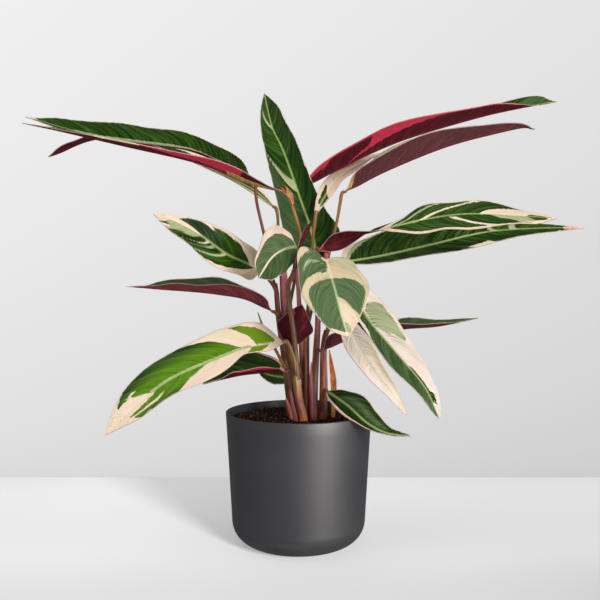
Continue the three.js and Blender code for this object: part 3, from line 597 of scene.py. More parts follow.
MARKS = {
    "leaf_upper_left_front": [
        mark("cream", "B", 0.96, 1.1, 1, 0.2), mark("pale", "R", 0.3, 0.85, 0.13, 0.03),
        mark("blush", "R", -0.2, 0.3, 1, 0.95), mark("deep", "R", 0, 0.25)],
    "leaf_upper_left_long": [
        mark("straw", "B", -0.1, 0.05), mark("straw", "L", 0.05, 0.3, (0.5, 0.3)),
        mark("straw", "R", 0.05, 0.36),
        mark("glow", "L", (0.27, 0.23, 0.18), (0.45, 0.48, 0.5), 1, (0.1, 0.1, 0.3)),
        mark("bare", "L", 0.5, 0.64, 1, (0.8, 0.7)), mark("cream", "L", 0.48, 0.9, 1, 0.85),
        mark("glow", "B", -0.1, 0.02, 1, 0.6), mark("glow", "R", 0.3, 0.5)],
    "leaf_upper_left_back": [
        mark("blush", "B", -0.1, 1.1, 1, (0.55, 0.85)), mark("cream", "R", 0.3, 0.42, 1, 0.3)],
    "leaf_top_upright": [
        mark("pale", "L", (0.445, 0.445, 0.44), (0.485, 0.475, 0.455)),
        mark("pale", "L", (0.78, 0.8, 0.86), (0.8, 0.83, 0.9), 0.7),
        mark("cream", "R", 0.27, 0.29, 0.8, 0.45), mark("deep", "L", 0, 0.43),
        mark("soft", "L", 0, 0.42, 1, 0.2), mark("deep", "R", -0.2, 1.1, 1, 0.2)],
    "leaf_upper_right_high": [
        mark("glow", "R", (0.19, 0.22, 0.25, 0.23, 0.2), (0.2, 0.25, 0.33, 0.4, 0.44), 1, 0.05),
        mark("glow", "R", -0.1, 0.09, 1, 0.62), mark("glow", "R", 0.05, 0.25, 1, 0.88),
        mark("glow", "R", 0.4, 0.75, 1, 0.9), mark("glow", "L", 0.1, 0.2, 0.8, 0.2),
        mark("cream", "B", 0.15, 0.26), mark("blush", "B", 0, 1, 1, 0.95), mark("soft", "B", 0.8, 1.2)],
    "leaf_upper_right_low": [
        mark("cream", "L", 0.1, 0.25, 1, (0.6, 0.8)), mark("pale", "L", 0.1, 0.8, 1, 0.3),
        mark("cream", "L", 0.45, 0.5, 1, 0.2), mark("dusty", "B", -1, 2),
        mark("straw", "R", -0.2, (0.02, 0.05, 0.03)), mark("straw", "L", -0.1, 0.03)],
    "leaf_cream_back": [
        mark("blush", "B", -0.4, 1.2), mark("green", "L", (0.12, 0.14, 0.2), (0.3, 0.39, 0.41), 0.55),
        mark("green", "R", 0.09, (0.3, 0.25, 0.21, 0.17), 0.8), mark("tan", "L", 0.44, 0.52, 0.5, 0.1),
        mark("glow", "B", 0, 1)],
    "leaf_right_twisted": [
        mark("cream", "B", 0.27, 0.31), mark("pale", "B", 0.28, 0.44, 0.1),
        mark("cream", "L", (0.44, 0.5, 0.54), (0.475, 0.535, 0.575)),
        mark("blush", "L", (0.7, 0.7, 0.73, 0.76), 1.2, 0.9), mark("green", "L", 0.86, 0.98, 0.35),
        mark("pale", "L", (0.3, 0.36, 0.4), (0.34, 0.39, 0.425)),
        mark("cream", "R", (0.575, 0.585, 0.6, 0.615), (0.6, 0.61, 0.63, 0.645), 1, 0.12),
        mark("pale", "R", (0.73, 0.77, 0.72), (0.86, 0.86, 0.84)), mark("blush", "R", 0.95, 1.2),
        mark("cream", "R", 0.8, 1.2, 1, 0.6), mark("cream", "R", 0.2, 1, 1, (0.8, 0.88, 0.88, 0.9)),
        mark("blush", "L", 0.33, 0.9, 1, 0.95), mark("flush", "L", 0.03, 0.08, 0.8),
        mark("flush", "R", 0.12, 0.2, 0.8, (0.4, 0.3)), mark("glow", "B", -0.1, 0.02)],
    "leaf_right_long": [
        mark("pale", "B", -0.05, 0.6, (0.07, 0.05)), mark("blush", "L", -0.3, (0.0, 0.03, 0.1), 1, 0.3),
        mark("pale", "L", (-0.02, 0.0, 0.05), (0.01, 0.04, 0.09), 1, 0.35),
        mark("pale", "L", (0.62, 0.57, 0.51), (0.64, 0.585, 0.525)),
        mark("pale", "L", (0.69, 0.66, 0.65), (0.715, 0.68, 0.665), 0.85),
        mark("blush", "R", (0.42, 0.41), (0.56, 0.5), 1, (0.85, 0.75)), mark("cream", "L", 0, 1, 1, 0.96),
        mark("deep", "R", 0.1, 1, 1, 0.3), mark("pink", "B", 0.9, 1.2)],
    "leaf_right_low": [
        mark("cream", "L", 0.3, 0.42, 1, 0.5), mark("soft", "B", 0, 1.2)],
    "leaf_left_broad": [
        mark("cream", "B", -0.4, 1.3), mark("tan", "B", -0.4, 0.12, 1, (0.6, 0.2)),
        mark("green", "L", (0.1, 0.14, 0.18, 0.24, 0.31), 0.73),
        mark("green", "L", (0.74, 0.77, 0.8, 0.82), (0.78, 0.84, 0.88, 0.9), 1, 0.12),
        mark("pale", "L", 0.69, 0.75, 1, 0.3), mark("pale", "L", (0.39, 0.38, 0.36), (0.42, 0.4, 0.38)),
        mark("pale", "L", 0.58, 0.92, 0.45),
        mark("pale", "L", (0.47, 0.46, 0.45), (0.49, 0.475, 0.465), 0.9, 0.1),
        mark("cream", "L", (0.52, 0.505, 0.5, 0.53, 0.58), (0.535, 0.52, 0.515, 0.545, 0.6), 0.92),
        mark("green", "R", (0.18, 0.19, 0.19, 0.155, 0.145), (0.57, 0.63, 0.69, 0.74, 0.66, 0.57),
             (0.8, 0.9, 0.95)),
        mark("cream", "R", 0.395, 0.42, 1, 0.7), mark("blush", "B", 0.85, 1.3),
        mark("deep", "R", 0.35, 0.7, 1, 0.1)],
    "leaf_left_narrow": [
        mark("soft", "R", -1, 2), mark("dusty", "L", -1, 2), mark("flush", "L", -0.2, 1),
        mark("blush", "B", 0, 1, 1, 0.95), mark("cream", "B", 0.9, 1.2), mark("bare", "B", 0.93, 1.1)],
    "leaf_left_large": [
        mark("cream", "B", -0.3, 1.3), mark("lime", "L", (0.09, 0.1, 0.12), (0.2, 0.2, 0.22), 0.9),
        mark("lime", "R", (0.06, 0.03, 0.03, 0.06), (0.16, 0.15, 0.13, 0.11), 0.9, 0.04),
        mark("green", "L", (0.465, 0.485, 0.49, 0.465, 0.44), (0.66, 0.68, 0.8, 0.76, 0.72, 0.66)),
        mark("cream", "L", 0.595, 0.62, 0.76, 0.45), mark("cream", "L", 0.6, 0.8, 0.66, 0.56),
        mark("green", "R", (0.26, 0.3, 0.31, 0.3, 0.31), (0.68, 0.69, 0.7, 0.69, 0.77, 0.7, 0.6)),
        mark("cream", "R", 0.64, 0.74, 0.64, 0.57), mark("bright", "L", 0.15, 0.9, 0.85),
        mark("bright", "R", 0.15, 0.9, 0.6), mark("pale", "B", 0.2, 0.68, 0.07),
        mark("blush", "B", 0.7, 1.3, 1, 0.9), mark("blush", "B", -0.3, 0.03)],
    "leaf_left_low": [
        mark("pink", "R", -0.3, (0.09, 0.05, 0, -0.04), 1, 0.25), mark("glow", "L", 0.05, 0.45, 1, 0.5),
        mark("blush", "R", 0, 0.8, 1, 0.96), mark("deep", "R", 0, 1)],
    "leaf_left_hidden": [mark("blush", "B", 0, 1, 1, 0.96)],
    "leaf_young_rolled": [
        mark("soft", "L", -1, 2), mark("dusty", "R", -1, 2), mark("deep", "B", 0, 1),
        mark("blush", "R", -0.8, 0.75, 1, (0.4, 0.45, 0.6, 0.8, 0.92)),
        mark("cream", "R", 0.3, 1.3, (0.02, 0.04, 0.08, 0.08)),
        mark("cream", "L", 0.4, 1.3, (0.02, 0.05, 0.08, 0.06)), mark("blush", "L", 0.3, 1.2, 1, 0.93)],
    "leaf_centre_front": [
        mark("dusty", "B", -1, 2), mark("cream", "B", -1, 2), mark("tan", "B", -0.5, 0.6),
        mark("veil", "R", 0.2, 0.36, 1, 0.1), mark("veil", "L", -0.2, 0.12),
        mark("tan", "B", 0.28, 0.6, 1, 0.92),
        mark("green", "R", (0.09, 0.05, -0.02, -0.09, -0.16), (0.22, 0.215, 0.155, 0.08, -0.01), 1, 0.08),
        mark("pale", "R", (0.1, 0.08, 0.03, -0.03, -0.08), (0.12, 0.1, 0.05, -0.01, -0.06), 0.8, 0.2),
        GREEN_HEART,
        mark("green", "L", (0.32, 0.3, 0.24, 0.155, 0.08), (0.54, 0.56, 0.575, 0.54, 0.51),
             (0.86, 0.92, 0.95)),
        mark("blush", "B", 0.62, 1.3, 1, 0.35),
        mark("pale", "L", (0.82, 0.84, 0.88), (0.92, 0.93, 0.94), 0.6, 0.1), GREEN_HEART],
    "leaf_drooping_cream": [
        mark("milk", "B", -0.4, 1.3), mark("green", "R", 0.17, 0.225, 0.65, 0.42),
        mark("tan", "L", 0.25, 1.2, 1, 0.6), mark("veil", "R", (0.3, 0.4), 0.72, 0.3, 0.02),
        mark("veil", "L", 0.4, 0.7, 0.25), mark("veil", "R", (0.0, 0.1), (0.3, 0.42), 0.8, 0.25),
        mark("veil", "L", -0.1, 0.36, 0.6, 0.1), mark("veil", "L", 0.2, 0.5, 0.85, 0.6),
        mark("veil", "R", 0.62, 0.9, 0.6, 0.3), mark("blush", "B", 0, 1, 1, 0.93)],
    "leaf_drooping_large": [
        mark("milk", "B", -0.4, 1.3),
        mark("pale", "L", (0.22, 0.137, 0.1, 0.077), (0.3, 0.396, 0.396, 0.27), 0.85, 0.05),
        mark("dusty", "L", 0, 0.45), mark("veil", "L", (0.3, 0.4), (0.44, 0.54), 0.8, 0.3),
        mark("soft", "R", -1, 2), mark("green", "R", 0.1, 1.3),
        mark("green", "L", (0.6, 0.66), (0.88, 0.8), (0.12, 0.28)),
        mark("green", "L", (0.77, 0.78), 0.87, 0.52, 0.3), mark("milk", "R", 0.15, 0.26, 1, 0.72),
        mark("blush", "B", 0, 1, 1, 0.95)],
    # Its crimson along the fold is partly the leaf's own red and partly a painted highlight.
    "leaf_maroon_inner": [
        mark("flush", "L", 0.2, 1, 1, 0.2), mark("glow", "R", (0.6, 0.5, 0.42), (0.85, 0.7, 0.6), 1, 0.3),
        mark("blush", "B", 0, 1, 1, 0.96)],
    "leaf_over_rim": [
        mark("deep", "L", -1, 2, 1, 0.5), mark("dusty", "L", 0.12, 0.7, 0.6, 0.3),
        mark("pale", "B", 0.05, 0.9, (0.07, 0.03)), mark("deep", "R", 0, 1, 1, 0.5),
        mark("soft", "R", 0.6, 2, 0.6), mark("blush", "R", -0.2, 0.5, 1, (0.62, 0.78, 0.9)),
        mark("pink", "B", 0, 1, 1, 0.97)],
}
print("marks:", sum(len(marks) for marks in MARKS.values()))

# %% [markdown]
# ## Painting the fields
# The side veins leave the midrib one after another and lean towards the tip. A mark is counted along them,
# so each point first looks up where its own vein starts. Inside a mark the field takes the paint's value,
# and at the mark's border it fades over a few millimetres, for the noise of the finish to cut.


# %% Fields from marks
SOFT_ALONG = 4.5  # mm of leaf over which a mark fades at its begin and end
SOFT_ACROSS, SHARP_ACROSS = 0.45, 0.05  # most and least share of the half-width over which it fades outwards
TO_THE_EDGE, TO_THE_RIB = 0.999, 0.001  # a mark that reaches the edge or the midrib doesn't fade there


def border(values, at):
    if len(values) == 1:
        return np.full(at.shape, values[0])
    return np.interp(at, np.linspace(0, 1, len(values)), values)


def painted(marks, origin, share, half, length):
    """The fields of a list of marks. origin is where the side vein of each point leaves the midrib."""
    fields = {name: np.zeros(origin.shape) for name in FIELDS}
    soft = SOFT_ALONG / length
    for paint, side, start, stop, outer, inner in marks:
        first, last = border(start, share), border(stop, share)
        t = np.clip((origin - first) / (last - first), 0, 1)
        outside, inside = border(outer, t), border(inner, t)
        fade = np.clip(outside - inside, SHARP_ACROSS, SOFT_ACROSS)
        depth = np.minimum.reduce([
            (origin - first) / soft,
            (last - origin) / soft,
            (outside - share) / fade + (outside >= TO_THE_EDGE),
            (share - inside) / fade + (inside <= TO_THE_RIB)])
        cover = np.clip(depth + 0.5, 0, 1) * ((half == side) | (side == "B"))
        for name, value in PAINTS[paint].items():
            fields[name] = fields[name] * (1 - cover) + value * cover
    return fields


# %% [markdown]
# ## From the rule to a sheet
# The sheet is a grid of points: rows run from the base to the point of the leaf, and columns crowd
# towards the midrib, where the relief is finest. Each point keeps its place in the pattern as
# attributes, which stay with the mesh and can be read by the finish. The way that the upper face looks is
# kept too, and on the midrib it is the one that leaves both halves equally thick.


# %% Sheets
ROW_STEP = 1.25  # mm of leaf between rows
FEWEST_ROWS = 24
HALF_COLUMNS = 16
COLUMN_CROWDING = 1.5
LEFT_PHASE = 0.35  # how far the waves of the left edge run ahead of the right edge's
LOBE_LENGTH = 0.3  # share of the blade over which a lobed base is swept back
LOBE_PEAK = 27 / 4  # makes the greatest value of x (1 - x)^2 one
SLANT = (0.7, 1.7)  # how far the side veins lean towards the tip, at the base and at the tip
VEIN_CURL = 0.4  # share of that lean at the midrib, because the veins curve forward on their way out
EDGE_LEAN = 1.6  # growth of the rest of the lean towards the edge
RIB_AT_TIP, RIB_GROWTH = 0.45, 0.75  # half-width of the pale midrib in mm


def sheet(blade, marks, seed):
    """A flat grid bent into the blade, with the way its upper face looks and its painted fields."""
    blade = {**PLAIN_BLADE, **blade}
    length = curve_length(blade["rib"])
    u = np.linspace(0, 1, max(FEWEST_ROWS, round(length / ROW_STEP)))
    spread = np.linspace(-1, 1, 2 * HALF_COLUMNS + 1)
    v = np.sign(spread) * np.abs(spread) ** COLUMN_CROWDING
    middle, forward = curve_at(blade["rib"], u), direction_at(blade["rib"], u)
    side = np.cross(forward, along(blade["up"], u))
    side /= np.linalg.norm(side, axis=1, keepdims=True)
    normal = np.cross(side, forward)
    place, lift = np.zeros((len(u), len(v), 3)), np.zeros((len(u), len(v), 3))
    width = np.zeros((len(u), len(v)))
    faces_up = []
    halves = zip((-1, 1), (blade["left"], blade["right"]), blade["folds"], (LEFT_PHASE, 0), blade["lobes"])
    for sign, widths, fold, phase, lobe in halves:
        half = half_width(widths, u)
        angle = np.radians(along(fold, u)) * np.minimum(1, half / OPEN_WIDTH)
        cos, sin = np.cos(angle)[:, None], np.sin(angle)[:, None]
        outward, upward = sign * cos * side + sin * normal, cos * normal - sign * sin * side
        faces_up.append(upward)
        ripple = blade["wave"] * np.sin(2 * np.pi * (blade["waves"] * u + phase))
        ripple = ripple * np.minimum(1, half / FULL_WAVE_WIDTH)
        reach = np.clip(u / LOBE_LENGTH, 0, 1)
        swept = (lobe * LOBE_PEAK * reach * (1 - reach) ** 2)[:, None] * forward
        for column in np.flatnonzero(np.sign(v) == sign):
            share = abs(v[column])
            flat = middle + share * half[:, None] * outward - share ** 2 * swept
            place[:, column] = flat + (ripple * share ** 2)[:, None] * normal
            lift[:, column], width[:, column] = upward, half
    crease = faces_up[0] + faces_up[1]
    place[:, HALF_COLUMNS] = middle
    lift[:, HALF_COLUMNS] = crease * 2 / (crease ** 2).sum(axis=1, keepdims=True)
    width[:, HALF_COLUMNS] = (width[:, HALF_COLUMNS - 1] + width[:, HALF_COLUMNS + 1]) / 2
    return dict(place=place, lift=lift, fields=blade_fields(u, v, width, length, marks, seed))


def blade_fields(u, v, width, length, marks, seed):
    """What the finishes read: the place in the vein pattern, the distance to the edge, and the paints."""
    share = np.abs(v)[None, :] * np.ones((len(u), 1))
    across = v[None, :] * width
    slant = (SLANT[0] + (SLANT[1] - SLANT[0]) * u)[:, None]
    vein = u[:, None] * length - slant * (VEIN_CURL + (1 - VEIN_CURL) * EDGE_LEAN * share) * np.abs(across)
    rib_half = (RIB_AT_TIP + RIB_GROWTH * (1 - u))[:, None]
    half = np.where(v < 0, "L", "R")[None, :] * np.ones(share.shape, dtype=object)
    fields = painted(marks, vein / length, share, half, length)
    fields.update(vein=vein, across=across, edge=width - np.abs(across), rib=np.abs(across) / rib_half,
                  seed=np.full(share.shape, seed), fine=np.minimum(1, width / FULL_WAVE_WIDTH))
    return fields


# %% [markdown]
# ## From points to a mesh
# A grid of points becomes a mesh when each four neighbours are joined to a face. The mesh is made straight
# at its place, so the object stays at the origin, and every field is stored on the points, because an
# attribute follows the mesh through the trees and into the finish.


# %% Meshes from grids
def new_piece(name, points, faces, edges=(), **attributes):
    """A mesh object at the origin, with each attribute stored on its points."""
    mesh = bpy.data.meshes.new(name)
    mesh.from_pydata(points.tolist(), list(edges), [[int(corner) for corner in face] for face in faces])
    for key, values in attributes.items():
        kind, slot = {1: ("FLOAT", "value"), 3: ("FLOAT_VECTOR", "vector"),
                      4: ("FLOAT_COLOR", "color")}[1 if values.ndim == 1 else values.shape[1]]
        mesh.attributes.new(key, kind, "POINT").data.foreach_set(slot, values.astype(float).ravel())
    piece = bpy.data.objects.new(name, mesh)
    bpy.context.collection.objects.link(piece)
    return piece


def grid_piece(name, *grids):
    """One mesh object from one or more grids of points, with every field stored on its points."""
    faces, start = [], 0
    for grid in grids:
        rows, columns = grid["place"].shape[:2]
        corner = (np.arange(rows - 1)[:, None] * columns + np.arange(columns - 1)[None, :]).ravel() + start
        faces.append(np.stack([corner, corner + 1, corner + columns + 1, corner + columns], axis=1))
        start += rows * columns
    points, lift = (np.concatenate([grid[key].reshape(-1, 3) for grid in grids]) for key in ("place", "lift"))
    fields = {key: np.concatenate([grid["fields"][key].ravel() for grid in grids])
              for key in grids[0]["fields"]}
    return new_piece(name, points * MM, np.concatenate(faces), lift=lift, **fields)


# %% [markdown]
# ## Geometry Nodes with named sizes
# A Geometry Nodes tree is a machine for shaping meshes. Its sizes are named inputs, so one tree serves
# every piece of its kind. Once it has run, its result is copied to a plain mesh and the modifier goes,
# because the piece has to stand alone afterwards.


# %% A tree and how it is run
class Shape(Graph):
    """A Geometry Nodes tree with one geometry input and named sizes and finishes."""

    def __init__(self, name, sizes=(), finishes=()):
        super().__init__(bpy.data.node_groups.new(name, "GeometryNodeTree"))
        face = self.tree.interface
        face.new_socket("Geometry", in_out="INPUT", socket_type="NodeSocketGeometry")
        for size in sizes:
            face.new_socket(size, in_out="INPUT", socket_type="NodeSocketFloat")
        for finish in finishes:
            face.new_socket(finish, in_out="INPUT", socket_type="NodeSocketMaterial")
        face.new_socket("Geometry", in_out="OUTPUT", socket_type="NodeSocketGeometry")
        self.given = self.add("NodeGroupInput")

    def size(self, name):
        return Wire(self, self.given.socket.node.outputs[name])

    def field(self, name, kind="FLOAT"):
        return self.add("GeometryNodeInputNamedAttribute", {"data_type": kind}, {"Name": name})

    def stored(self, geometry, name, value, kind="FLOAT_VECTOR"):
        return self.add("GeometryNodeStoreNamedAttribute", {"data_type": kind, "domain": "POINT"},
                        {"Geometry": geometry, "Name": name, "Value": value})

    def moved(self, geometry, offset):
        return self.add("GeometryNodeSetPosition", inputs={"Geometry": geometry, "Offset": offset})

    def joined(self, *parts):
        whole = self.add("GeometryNodeJoinGeometry")
        for part in parts:
            self.tree.links.new(part.socket, whole.socket.node.inputs[0])
        return whole

    def end(self, geometry, finish, selection=None):
        geometry = self.add("GeometryNodeRealizeInstances", inputs={"Geometry": geometry})
        geometry = self.add("GeometryNodeSetShadeSmooth", inputs={"Geometry": geometry})
        for name, where in ((finish, None), *(selection or ())):
            chosen = {"Selection": where} if where is not None else {}
            geometry = self.add("GeometryNodeSetMaterial",
                                inputs={"Geometry": geometry, "Material": self.size(name), **chosen})
        out = self.tree.nodes.new("NodeGroupOutput")
        self.tree.links.new(geometry.socket, out.inputs[0])
        print("tree:", self.tree.name, len(self.tree.nodes), "nodes")
        return self.tree


def shaped(piece, tree, **values):
    """Runs a tree on a piece and keeps the result as the piece's plain mesh."""
    modifier = piece.modifiers.new(tree.name, "NODES")
    modifier.node_group = tree
    for item in tree.interface.items_tree:
        if item.in_out == "INPUT" and item.name in values:
            modifier[item.identifier] = values[item.name]
    view = bpy.context.evaluated_depsgraph_get()
    plain = bpy.data.meshes.new_from_object(piece.evaluated_get(view), preserve_all_data_layers=True,
                                            depsgraph=view)
    piece.modifiers.remove(modifier)
    rough, piece.data = piece.data, plain
    bpy.data.meshes.remove(rough)
    plain.name = piece.name
    return piece


# %% [markdown]
# ## From the sheet to a blade
# A living blade is quilted: it sags a little along each side vein and swells between them, the midrib is
# a shallow groove above and a round ridge below, and the whole is about half a millimetre thick. The tree
# moves the sheet by those small reliefs, extrudes it along the stored direction and closes its underside.
# The reliefs fade out towards the midrib and the edge, where the blade is flat.


# %% Blade tree
MIDDLE_OF_QUILT = 0.6  # about the mean height of a row of half waves
GROOVE_SHARE = 0.35  # depth of the groove above, as a share of the ridge below
MERGE = 1e-6  # m


def blade_tree():
    g = Shape("blade", ["Thickness", "Vein spacing", "Quilt", "Midrib"], ["Upper finish", "Under finish"])
    vein, across, edge = g.field("vein"), g.field("across").abs(), g.field("edge")
    lift = g.field("lift", "FLOAT_VECTOR")
    pillow = (vein * math.pi / g.size("Vein spacing")).sin().abs() - MIDDLE_OF_QUILT
    relief = pillow * g.size("Quilt") * across.ease(0.8, 5.0) * edge.ease(0.0, 5.0)
    groove = across.ease(1.4, 0.0) * g.size("Midrib") * GROOVE_SHARE * g.field("fine")
    ridge = across.ease(1.5, 0.2) * g.size("Midrib") * g.field("fine")
    quilted = g.moved(g.given, lift * (relief - groove))
    lower = g.moved(quilted, lift * (g.size("Thickness") * -0.5 - ridge))
    upper = g.add("GeometryNodeExtrudeMesh", {"mode": "FACES"},
                  {"Mesh": lower, "Offset": lift, "Offset Scale": g.size("Thickness") + ridge,
                   "Individual": False})
    underside = g.add("GeometryNodeFlipFaces", inputs={"Mesh": lower})
    closed = g.add("GeometryNodeMergeByDistance",
                   inputs={"Geometry": g.joined(upper, underside), "Distance": MERGE})
    top_faces = Wire(g, upper.socket.node.outputs["Top"])
    return g.end(closed, "Under finish", [("Upper finish", top_faces)])


blade_shape = blade_tree()

# %% [markdown]
# ## The leaf that is still rolled
# The youngest leaf is only half open: its blade hangs to the front, and a second leaf stands behind it as
# a tight roll. A roll is a sheet too. Its section is a spiral of a little more than one turn, so its free
# edge shows as a line that winds up the roll, and it grows out of the stalk and ends in a point.


# %% Rolled sheet
ROLL_TURNS, ROLL_COLUMNS = 1.35, 40
ROLL_START, ROLL_TWIST = 2.4, 1.9  # radians: where the spiral begins, and how far it winds up the roll
ROLL_CORE = 0.62  # radius of the spiral's inner end, as a share of the outer one
ROLL_POINT, ROLL_END = 0.16, 0.06  # share of the length that tapers to the point, and what is left there
ROLL_SLANT, ROLL_RIM = 0.8, 14  # lean of the veins, and mm from the free edge to the inner end
NO_RIB = 9.0  # so far from a midrib that none is drawn
ROLL_TONES = {
    "leaf_young_rolled": dict(glow=[0.35, 0]),
    "leaf_upper_left_long": dict(glow=[1, 0.7, 0.2], bare=[0.6, 0.55, 0.4], tan=[1, 1]),
}


def rolled_sheet(points, radii, seed, tones):
    """The spiral sheet of a rolled leaf, its underside outwards. tones: fields from the base to the end."""
    length = curve_length(points)
    u = np.linspace(0, 1, round(length / ROW_STEP) + 1)
    middle, forward = curve_at(points, u), direction_at(points, u)
    side = np.cross(forward, [0.0, 1.0, 0.0])
    side /= np.linalg.norm(side, axis=1, keepdims=True)
    back = np.cross(side, forward)
    radius = along(radii, u) * np.clip((1 - u) / ROLL_POINT, ROLL_END, 1)
    spread = np.linspace(0, 1, ROLL_COLUMNS + 1)
    angle = 2 * np.pi * ROLL_TURNS * spread[None, :] + ROLL_TWIST * u[:, None] + ROLL_START
    outward = np.cos(angle)[..., None] * side[:, None] + np.sin(angle)[..., None] * back[:, None]
    share = (ROLL_CORE + (1 - ROLL_CORE) * spread)[None, :]
    place = middle[:, None] + outward * (radius[:, None] * share)[..., None]
    across = (spread - 0.5)[None, :] * 2 * np.pi * radius[:, None]
    everywhere = np.ones(across.shape)
    fields = {name: 0 * everywhere for name in FIELDS}
    fields.update(vein=u[:, None] * length + across * ROLL_SLANT, across=across,
                  edge=(1 - spread)[None, :] * ROLL_RIM * everywhere, rib=NO_RIB * everywhere,
                  seed=seed * everywhere, fine=0 * everywhere)
    for name, ends in tones.items():
        fields[name] = along(ends, u)[:, None] * everywhere
    return dict(place=place, lift=-outward, fields=fields)


# %% [markdown]
# ## Making the blades
# Now every leaf goes the same way: the rule gives its sheet, a roll is added where it has one, and the
# tree gives it its relief and thickness. Each leaf has its own seed, so no two share a pattern.

# %% Making the blades
BLADE_THICK, QUILT, MIDRIB = 0.6, 0.4, 0.55  # mm
SEED_STEP, ROLL_SEED = 13.7, 5.0
blades = {}
for number, (name, blade) in enumerate(BLADES.items()):
    grids = [sheet(blade, MARKS[name], seed=number * SEED_STEP)]
    if "roll" in blade:
        grids.append(rolled_sheet(blade["roll"], blade["roll_radii"], ROLL_SEED, ROLL_TONES[name]))
    piece = grid_piece(name.replace("leaf_", "blade_"), *grids)
    blades[name] = shaped(piece, blade_shape, **{
        "Thickness": BLADE_THICK * MM, "Vein spacing": VEIN_SPACING, "Quilt": QUILT * MM,
        "Midrib": MIDRIB * MM, "Upper finish": leaf_upper_face, "Under finish": leaf_under_face})
print("blade faces:", sum(len(p.data.polygons) for p in blades.values()))

# %% [markdown]
# ## Stalks that clasp each other
# Each shoot is a bundle: every leaf stalk wraps the next one with a sheath, and above the sheaths the
# stalks are bare, round and reddish, with a swollen knee under the blade. The paths are simple lines of
# points, so they're kept as edges with a radius and two tones, and a tree sweeps a round section along
# them. A stored centre lets the same tree open the section into a clasping overlap on the sheaths.


# %% Shoot values, in millimetres
SOIL_TOP, ROOT_DEPTH = 117, 32
KNEE, BLADE_GAP, KNEE_INTO_BLADE = 4, 0.3, 1.6
STALK_RADII = [1.8, 1.5, 1.5, 1.5, 1.8, 1.5]
SHOOTS = {
    "stem_left": dict(
        root=(-4, -1), sheath=[(-9, -1, 140), (-14.5, 1, 182), (-19, 3, 212), (-22, 4, 248)],
        radii=[3.8, 3.8, 3.5, 3, 2.7, 2.4],
        clasps=[dict(path=[(-6, -4, 119), (-10, -6, 124), (-12.5, -6, 134)], radii=[2.6, 2, 0.5]),
                dict(path=[(-13, -3, 166), (-22, -5, 184), (-33, -6, 204), (-39, -6, 220)],
                     radii=[1.8, 1.5, 1.3, 0.5])],
        stalks=dict(
            leaf_upper_left_front=[(-18, 2, 203), (-23, 4, 244), (-33, 12, 292), (-41, 14, 327)],
            leaf_left_narrow=[(-15, 1, 188), (-18, -2, 203), (-19.5, -4, 213)],
            leaf_left_broad=[(-18, 2, 215), (-22, -2, 240), (-29, -7, 252)],
        )),
    "stem_back": dict(
        root=(0, 9), sheath=[(-5, 10, 148), (-10, 10, 188), (-12, 10, 227)], radii=[4, 4, 4, 3.6, 3.2],
        clasps=[dict(path=[(-6, 8, 150), (-9, 7, 190), (-13, 6, 222), (-15.5, 7, 266)],
                     radii=[3.4, 4, 4.4, 4.4, 3.6])],
        stalks=dict(
            leaf_upper_left_back=[(-13, 10, 214), (-18, 14, 261), (-20, 15, 293), (-20.5, 17.5, 312)],
            leaf_upper_left_long=[(-11, 10, 214), (-3, 6, 256), (2, -2, 287), (-0.5, -7, 304)],
            leaf_left_hidden=[(-3, 9, 129), (-5, 12, 143)],
        )),
    "stem_front": dict(
        root=(5, -13), sheath=[(1, -14, 137), (-2, -17, 164)], radii=[4.2, 4.2, 3.8, 3], clasps=[],
        stout=dict(leaf_young_rolled=1.6),
        stalks=dict(
            leaf_left_large=[(-1, -16, 152), (-3, -19, 172), (-6.5, -22, 184)],
            leaf_young_rolled=[(-1, -16, 157), (-4, -20, 197), (-8.5, -22, 229), (-9.5, -21, 246)],
        )),
    "stem_low": dict(
        root=(-3, -11), sheath=[(-6, -10, 137), (-8, -10, 150)], radii=[3.2, 3.2, 2.8, 2.2],
        clasps=[dict(path=[(-6, -11, 119), (-9, -11, 128), (-12, -10, 139)], radii=[2.4, 2.4, 0.6])],
        stalks=dict(leaf_left_low=[(-7, -10, 148)])),
    "stem_centre": dict(
        root=(8, 1), sheath=[(7, 2, 145), (7, 4, 178), (8, 8, 214)], radii=[4.5, 4.5, 4.2, 3.6, 2.8],
        clasps=[dict(path=[(4, 5, 160), (2, 4, 200), (0, 2, 235), (-2, 0, 262)], radii=[3, 2.6, 2.2, 1.6]),
                dict(path=[(8, -3, 121), (7.5, -5, 150), (7, -6, 183)], radii=[3, 2.6, 0.5])],
        stalks=dict(
            leaf_top_upright=[(8, 7, 202), (15, 15, 232)],
            leaf_upper_right_high=[(8, 8, 198), (10, 30, 231), (10, 48, 270), (3, 56, 319)],
            leaf_cream_back=[(8, 7, 202), (10, 6, 241), (13, 9, 282)],
            leaf_maroon_inner=[(6, 2, 145), (0, -6, 169)],
        )),
    "stem_inner_right": dict(
        root=(15, -7), sheath=[(15, -7, 146), (17, -6, 184), (19, -5, 215)], radii=[3.8, 3.8, 3.6, 3.2, 2.6],
        clasps=[dict(path=[(13, -9, 121), (12, -11, 148), (12, -12, 173)], radii=[2.6, 2.2, 0.5])],
        stalks=dict(
            leaf_upper_right_low=[(19, -5, 208), (22, 4, 237), (29, 12, 273), (37, 14, 306),
                                  (40.5, 14.5, 325)],
            leaf_right_twisted=[(19, -5, 208), (15, -8, 237)],
            leaf_right_long=[(19, -5, 208), (26, 2, 237)],
            leaf_centre_front=[(17, -6, 189), (18, -14, 232)],
            leaf_right_low=[(15, -7, 151), (16, -9, 169)],
        )),
    "stem_right": dict(
        root=(23, -1), sheath=[(24, 0, 144), (24, 2, 181), (26, 1, 203)], radii=[4.4, 4.4, 4.2, 3.4, 2.4],
        clasps=[],
        stalks=dict(
            leaf_drooping_large=[(26, 1, 193), (33, 2, 229)],
            leaf_drooping_cream=[(25, 1, 179), (28, -4, 201)],
            leaf_over_rim=[(23, -2, 121), (22, -8, 135)],
        )),
}
